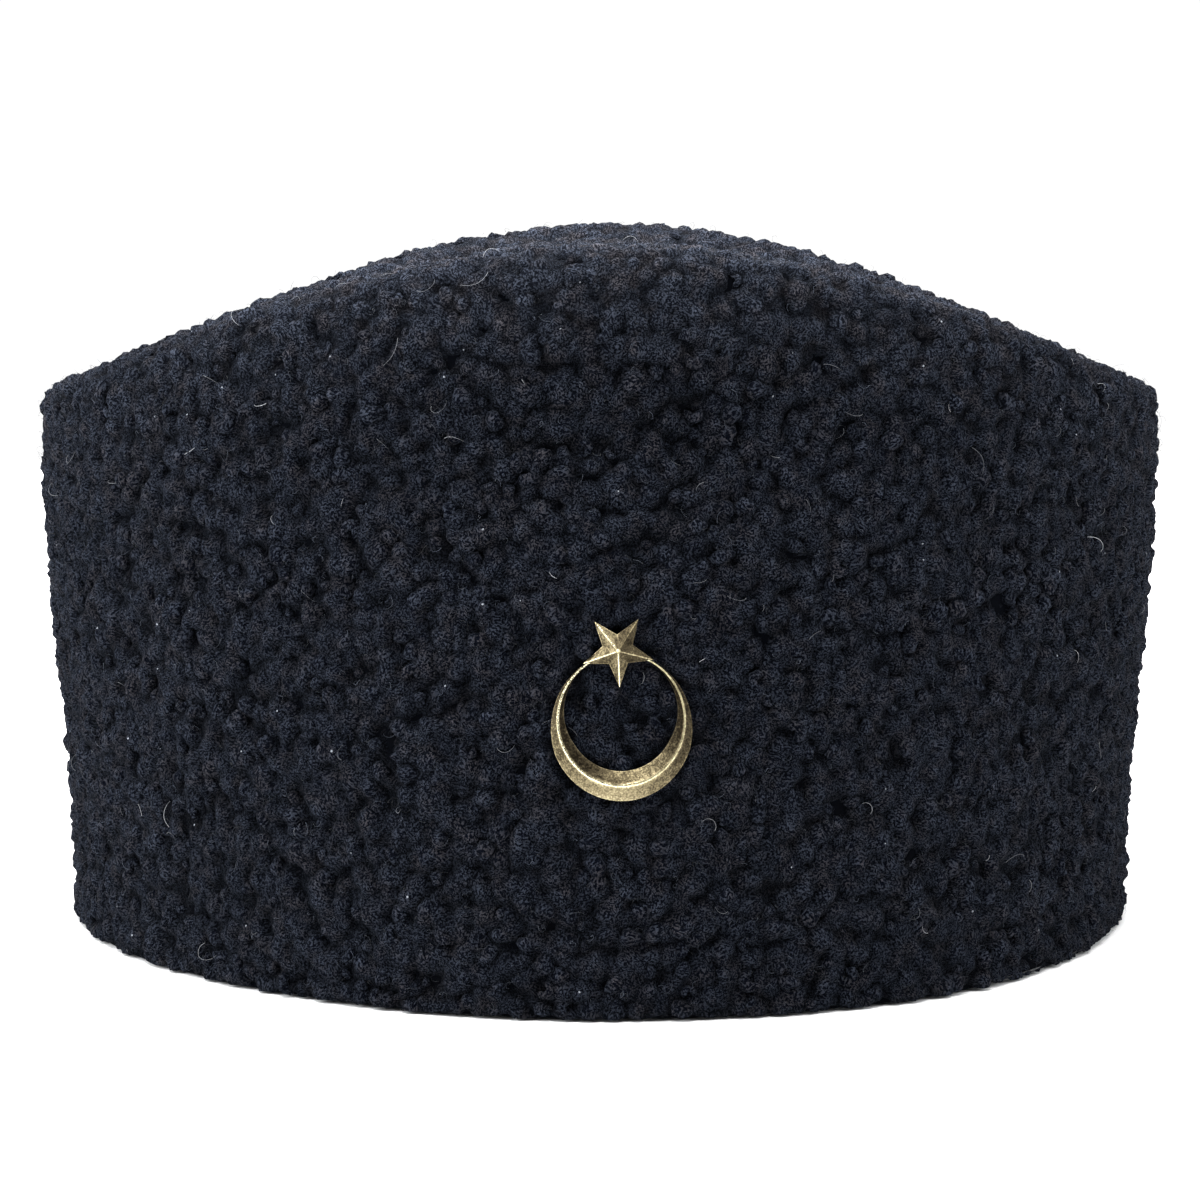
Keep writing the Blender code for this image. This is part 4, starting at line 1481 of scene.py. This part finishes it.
# %% Bend a few hairs
HAIR_STEPS = 4
LINT_STEPS = 12
HAIR_PATTERNS = 8
HAIR_SIDES = 3
ROOT_DEPTH = 0.0002
FUZZ_HALF_WIDTH = 0.000028
LINT_HALF_WIDTH = 0.000045
FUZZ_LENGTHS = (0.0014, 0.0028)
LINT_LENGTHS = (0.0030, 0.0075)
CURL_DEGREES = (120, 320)
HAIR_TILT = 0.5


def hair(name, dice, half_width, length, curl_deg, steps=HAIR_STEPS):
    """A tapered three-sided tube along a bent path that leaves the ground and turns back to it."""
    points = []
    place = Vector((0, 0, -ROOT_DEPTH))
    heading = dice.uniform(0, math.tau)
    climb = dice.uniform(0.35, 1.1)
    step_length = length / steps
    for step in range(steps + 1):
        share = step / steps
        level = math.cos(climb)
        way = Vector((math.cos(heading) * level, math.sin(heading) * level, math.sin(climb)))
        side = way.cross(Vector((0, 0, 1))).normalized()
        other = way.cross(side)
        width = half_width * (1.0 - 0.65 * share)
        for corner in range(HAIR_SIDES):
            around = math.tau * corner / HAIR_SIDES
            points.append(tuple(place + (side * math.cos(around) + other * math.sin(around)) * width))
        place = place + way * step_length
        heading += math.radians(curl_deg / steps * dice.uniform(0.6, 1.4))
        climb -= dice.uniform(0.9, 2.7) / steps
    last = HAIR_SIDES * steps
    faces = tube_faces(steps, HAIR_SIDES)
    faces += [tuple(range(HAIR_SIDES)), tuple(range(last, last + HAIR_SIDES))]
    return pattern(name, points, faces, -0.0005, 0.0004)


fuzz = bpy.data.collections.new("fuzz_patterns")
lint = bpy.data.collections.new("lint_patterns")
for number in range(HAIR_PATTERNS):
    turn_back = dice.choice((-1, 1)) * dice.uniform(*CURL_DEGREES)
    length = dice.uniform(*FUZZ_LENGTHS)
    fuzz.objects.link(hair(f"fuzz_{number}", dice, FUZZ_HALF_WIDTH, length, turn_back))
    length = dice.uniform(*LINT_LENGTHS)
    turn_back *= dice.uniform(0.3, 1.1)
    lint.objects.link(hair(f"lint_{number}", dice, LINT_HALF_WIDTH, length, turn_back, LINT_STEPS))


# %% Build the hair tree
def hair_tree():
    """Spreads hairs over the hairy faces of a wall."""
    bench, given, identifiers = start_group("loose_hairs", (
        ("Geometry", "NodeSocketGeometry", None),
        ("Patterns", "NodeSocketCollection", None),
        ("Material", "NodeSocketMaterial", None),
        ("Density", "NodeSocketFloat", 70000.0),
        ("Least size", "NodeSocketFloat", 0.6),
        ("Least outward", "NodeSocketFloat", OUTWARD_WOOL),
        ("Crown", "NodeSocketObject", None),
        ("Rim reach", "NodeSocketFloat", RIM_REACH),
        ("Seed", "NodeSocketInt", 1),
    ))
    seed = given["Seed"]
    spread = bench.add("GeometryNodeDistributePointsOnFaces", {"distribute_method": "RANDOM"}, {
        "Mesh": given["Geometry"], "Selection": is_hairy(bench, given),
        "Density": given["Density"], "Seed": seed,
    })
    points = keep_hairy(bench, spread, given, "POINT", spread.side("Normal"))
    turned = bench.add("FunctionNodeRotateRotation", {"rotation_space": "LOCAL"}, {
        0: spread.side("Rotation"), 1: random_turn(bench, HAIR_TILT, seed + 1)})
    patterns = bench.add("GeometryNodeCollectionInfo", values={
        "Collection": given["Patterns"], "Separate Children": True, "Reset Children": True})
    choice = random_value(bench, 0.0, float(HAIR_PATTERNS), seed + 2).math("FLOOR")
    copies = bench.add("GeometryNodeInstanceOnPoints", values={
        "Points": points, "Instance": patterns, "Pick Instance": True, "Instance Index": choice,
        "Rotation": turned, "Scale": random_value(bench, given["Least size"], 1.3, seed + 3)})
    tone = random_value(bench, 0.0, 1.0, seed + 4)
    toned = store(bench, copies, "INSTANCE", "tone", "FLOAT", tone)
    finish_group(bench, toned, given["Material"])
    return bench.tree, identifiers


hairs, hair_inputs = hair_tree()

# %% Grow the hairs
HAIRS = (
    ("front_fuzz", "front_panel", fuzz, wool_fuzz, 66000.0, 61, "panel_fleece"),
    ("back_fuzz", "back_panel", fuzz, wool_fuzz, 34000.0, 71, "panel_fleece"),
    ("crown_fuzz", "crown", fuzz, wool_fuzz, 38000.0, 81, "crown_fleece"),
    ("front_lint", "front_panel", lint, pale_lint, 2600.0, 64, "panel_fleece"),
    ("back_lint", "back_panel", lint, pale_lint, 1400.0, 74, "panel_fleece"),
    ("crown_lint", "crown", lint, pale_lint, 1400.0, 84, "crown_fleece"),
)
for name, node, patterns, finish, density, seed, slot_name in HAIRS:
    piece = grown(
        name, node, hairs, hair_inputs, Patterns=patterns, Material=finish, Density=density, Seed=seed)

for patterns in (locks, fuzz, lint):
    for spare in list(patterns.objects):
        bpy.data.objects.remove(spare, do_unlink=True)
    bpy.data.collections.remove(patterns)

# %% [markdown]
# ## Floor, light and camera
#
# The cap stands on a white floor in soft light. A large panel hangs overhead, slightly to the left
# and in front. There is a fill from the left, a weaker one from the right and one from behind, and
# the room around is white. Black wool needs much light, and the floor is so pale that it lights the
# wall from below. A black card stands in front, hidden from the camera, so that the brass has
# something dark to reflect.

# %% Lay the floor
FLOOR_RADIUS = 0.95
FLOOR_SIDES = 64
FLOOR_DROP = 0.0002
PAPER_DARK = (0.77, 0.77, 0.77)
PAPER_LIGHT = (0.80, 0.80, 0.80)

floor_mesh = bpy.data.meshes.new("floor")
edge = [math.tau * side / FLOOR_SIDES for side in range(FLOOR_SIDES)]
rim = [(FLOOR_RADIUS * math.cos(turn), FLOOR_RADIUS * math.sin(turn), 0.0) for turn in edge]
floor_mesh.from_pydata(rim, [], [tuple(range(FLOOR_SIDES))])
# White paper with a faint tooth.
floor_mesh.materials.append(
    grained_material("white_paper", PAPER_DARK, PAPER_LIGHT, (300.0, 2.0), (0.85, 0.1)))
floor = link("floor", floor_mesh)
floor.location.z = -FLOOR_DROP

# %% Hang the lights
PANELS = (
    # name, place, half width, power in watts, colour
    ("overhead_panel", (-0.10, -0.08, 1.15), 0.50, 36.0, (1.0, 1.0, 1.0)),
    ("left_panel", (-1.20, -0.35, 0.60), 0.35, 24.0, (0.96, 0.98, 1.0)),
    ("right_panel", (1.25, -0.20, 0.60), 0.35, 10.0, (0.96, 0.98, 1.0)),
    ("far_panel", (0.0, 0.95, 0.80), 0.35, 18.0, (0.97, 0.98, 1.0)),
)
AIM = Vector((0.0, 0.0, 0.06))
for name, place, half_width, power, colour in PANELS:
    light = bpy.data.lights.new(name, "AREA")
    light.size = 2.0 * half_width
    light.energy = power
    light.color = colour
    lamp = link(name, light)
    lamp.location = place
    lamp.rotation_euler = (AIM - Vector(place)).to_track_quat("-Z", "Y").to_euler()

# %% Stand the black card in front
CARD_HALF_WIDTH = 1.6
CARD_HEIGHT = 2.0
CARD_Y = -1.5
CARD_BLACK = (0.01, 0.01, 0.01, 1.0)

card_mesh = bpy.data.meshes.new("black_card")
card_corners = [
    (side * CARD_HALF_WIDTH, CARD_Y, height)
    for side, height in ((-1, 0.0), (1, 0.0), (1, CARD_HEIGHT), (-1, CARD_HEIGHT))]
card_mesh.from_pydata(card_corners, [], [(0, 1, 2, 3)])
card_mesh.materials.append(new_material("black_card", Base_Color=CARD_BLACK, Roughness=0.9)[0])
card = link("black_card", card_mesh)
card.visible_camera = False

# %% Light the room
ROOM_STRENGTH = 1.03

world = bpy.data.worlds.new("white_room")
world.use_nodes = True
background = world.node_tree.nodes["Background"].inputs
background["Color"].default_value = (1.0, 1.0, 1.0, 1.0)
background["Strength"].default_value = ROOM_STRENGTH
bpy.context.scene.world = world
bpy.context.scene.view_settings.view_transform = "Standard"

# %% Place the camera
CAMERA_DISTANCE = 0.6435
CAMERA_HEIGHT = 0.1503
CAMERA_DOWN = 0.1395  # radians below the horizon
FOCAL_LENGTH_PX = 3252.0  # in the photo, which is 1200 pixels wide
PHOTO_WIDTH_PX = 1200.0
SENSOR_WIDTH_MM = 36.0

camera_data = bpy.data.cameras.new("camera")
camera_data.sensor_width = SENSOR_WIDTH_MM
camera_data.lens = FOCAL_LENGTH_PX / PHOTO_WIDTH_PX * SENSOR_WIDTH_MM
camera = link("camera", camera_data)
camera.location = (0.0, -CAMERA_DISTANCE, CAMERA_HEIGHT)
camera.rotation_euler = (math.pi / 2.0 - CAMERA_DOWN, 0.0, 0.0)
bpy.context.scene.camera = camera
print("lens", round(camera_data.lens, 1), "mm")
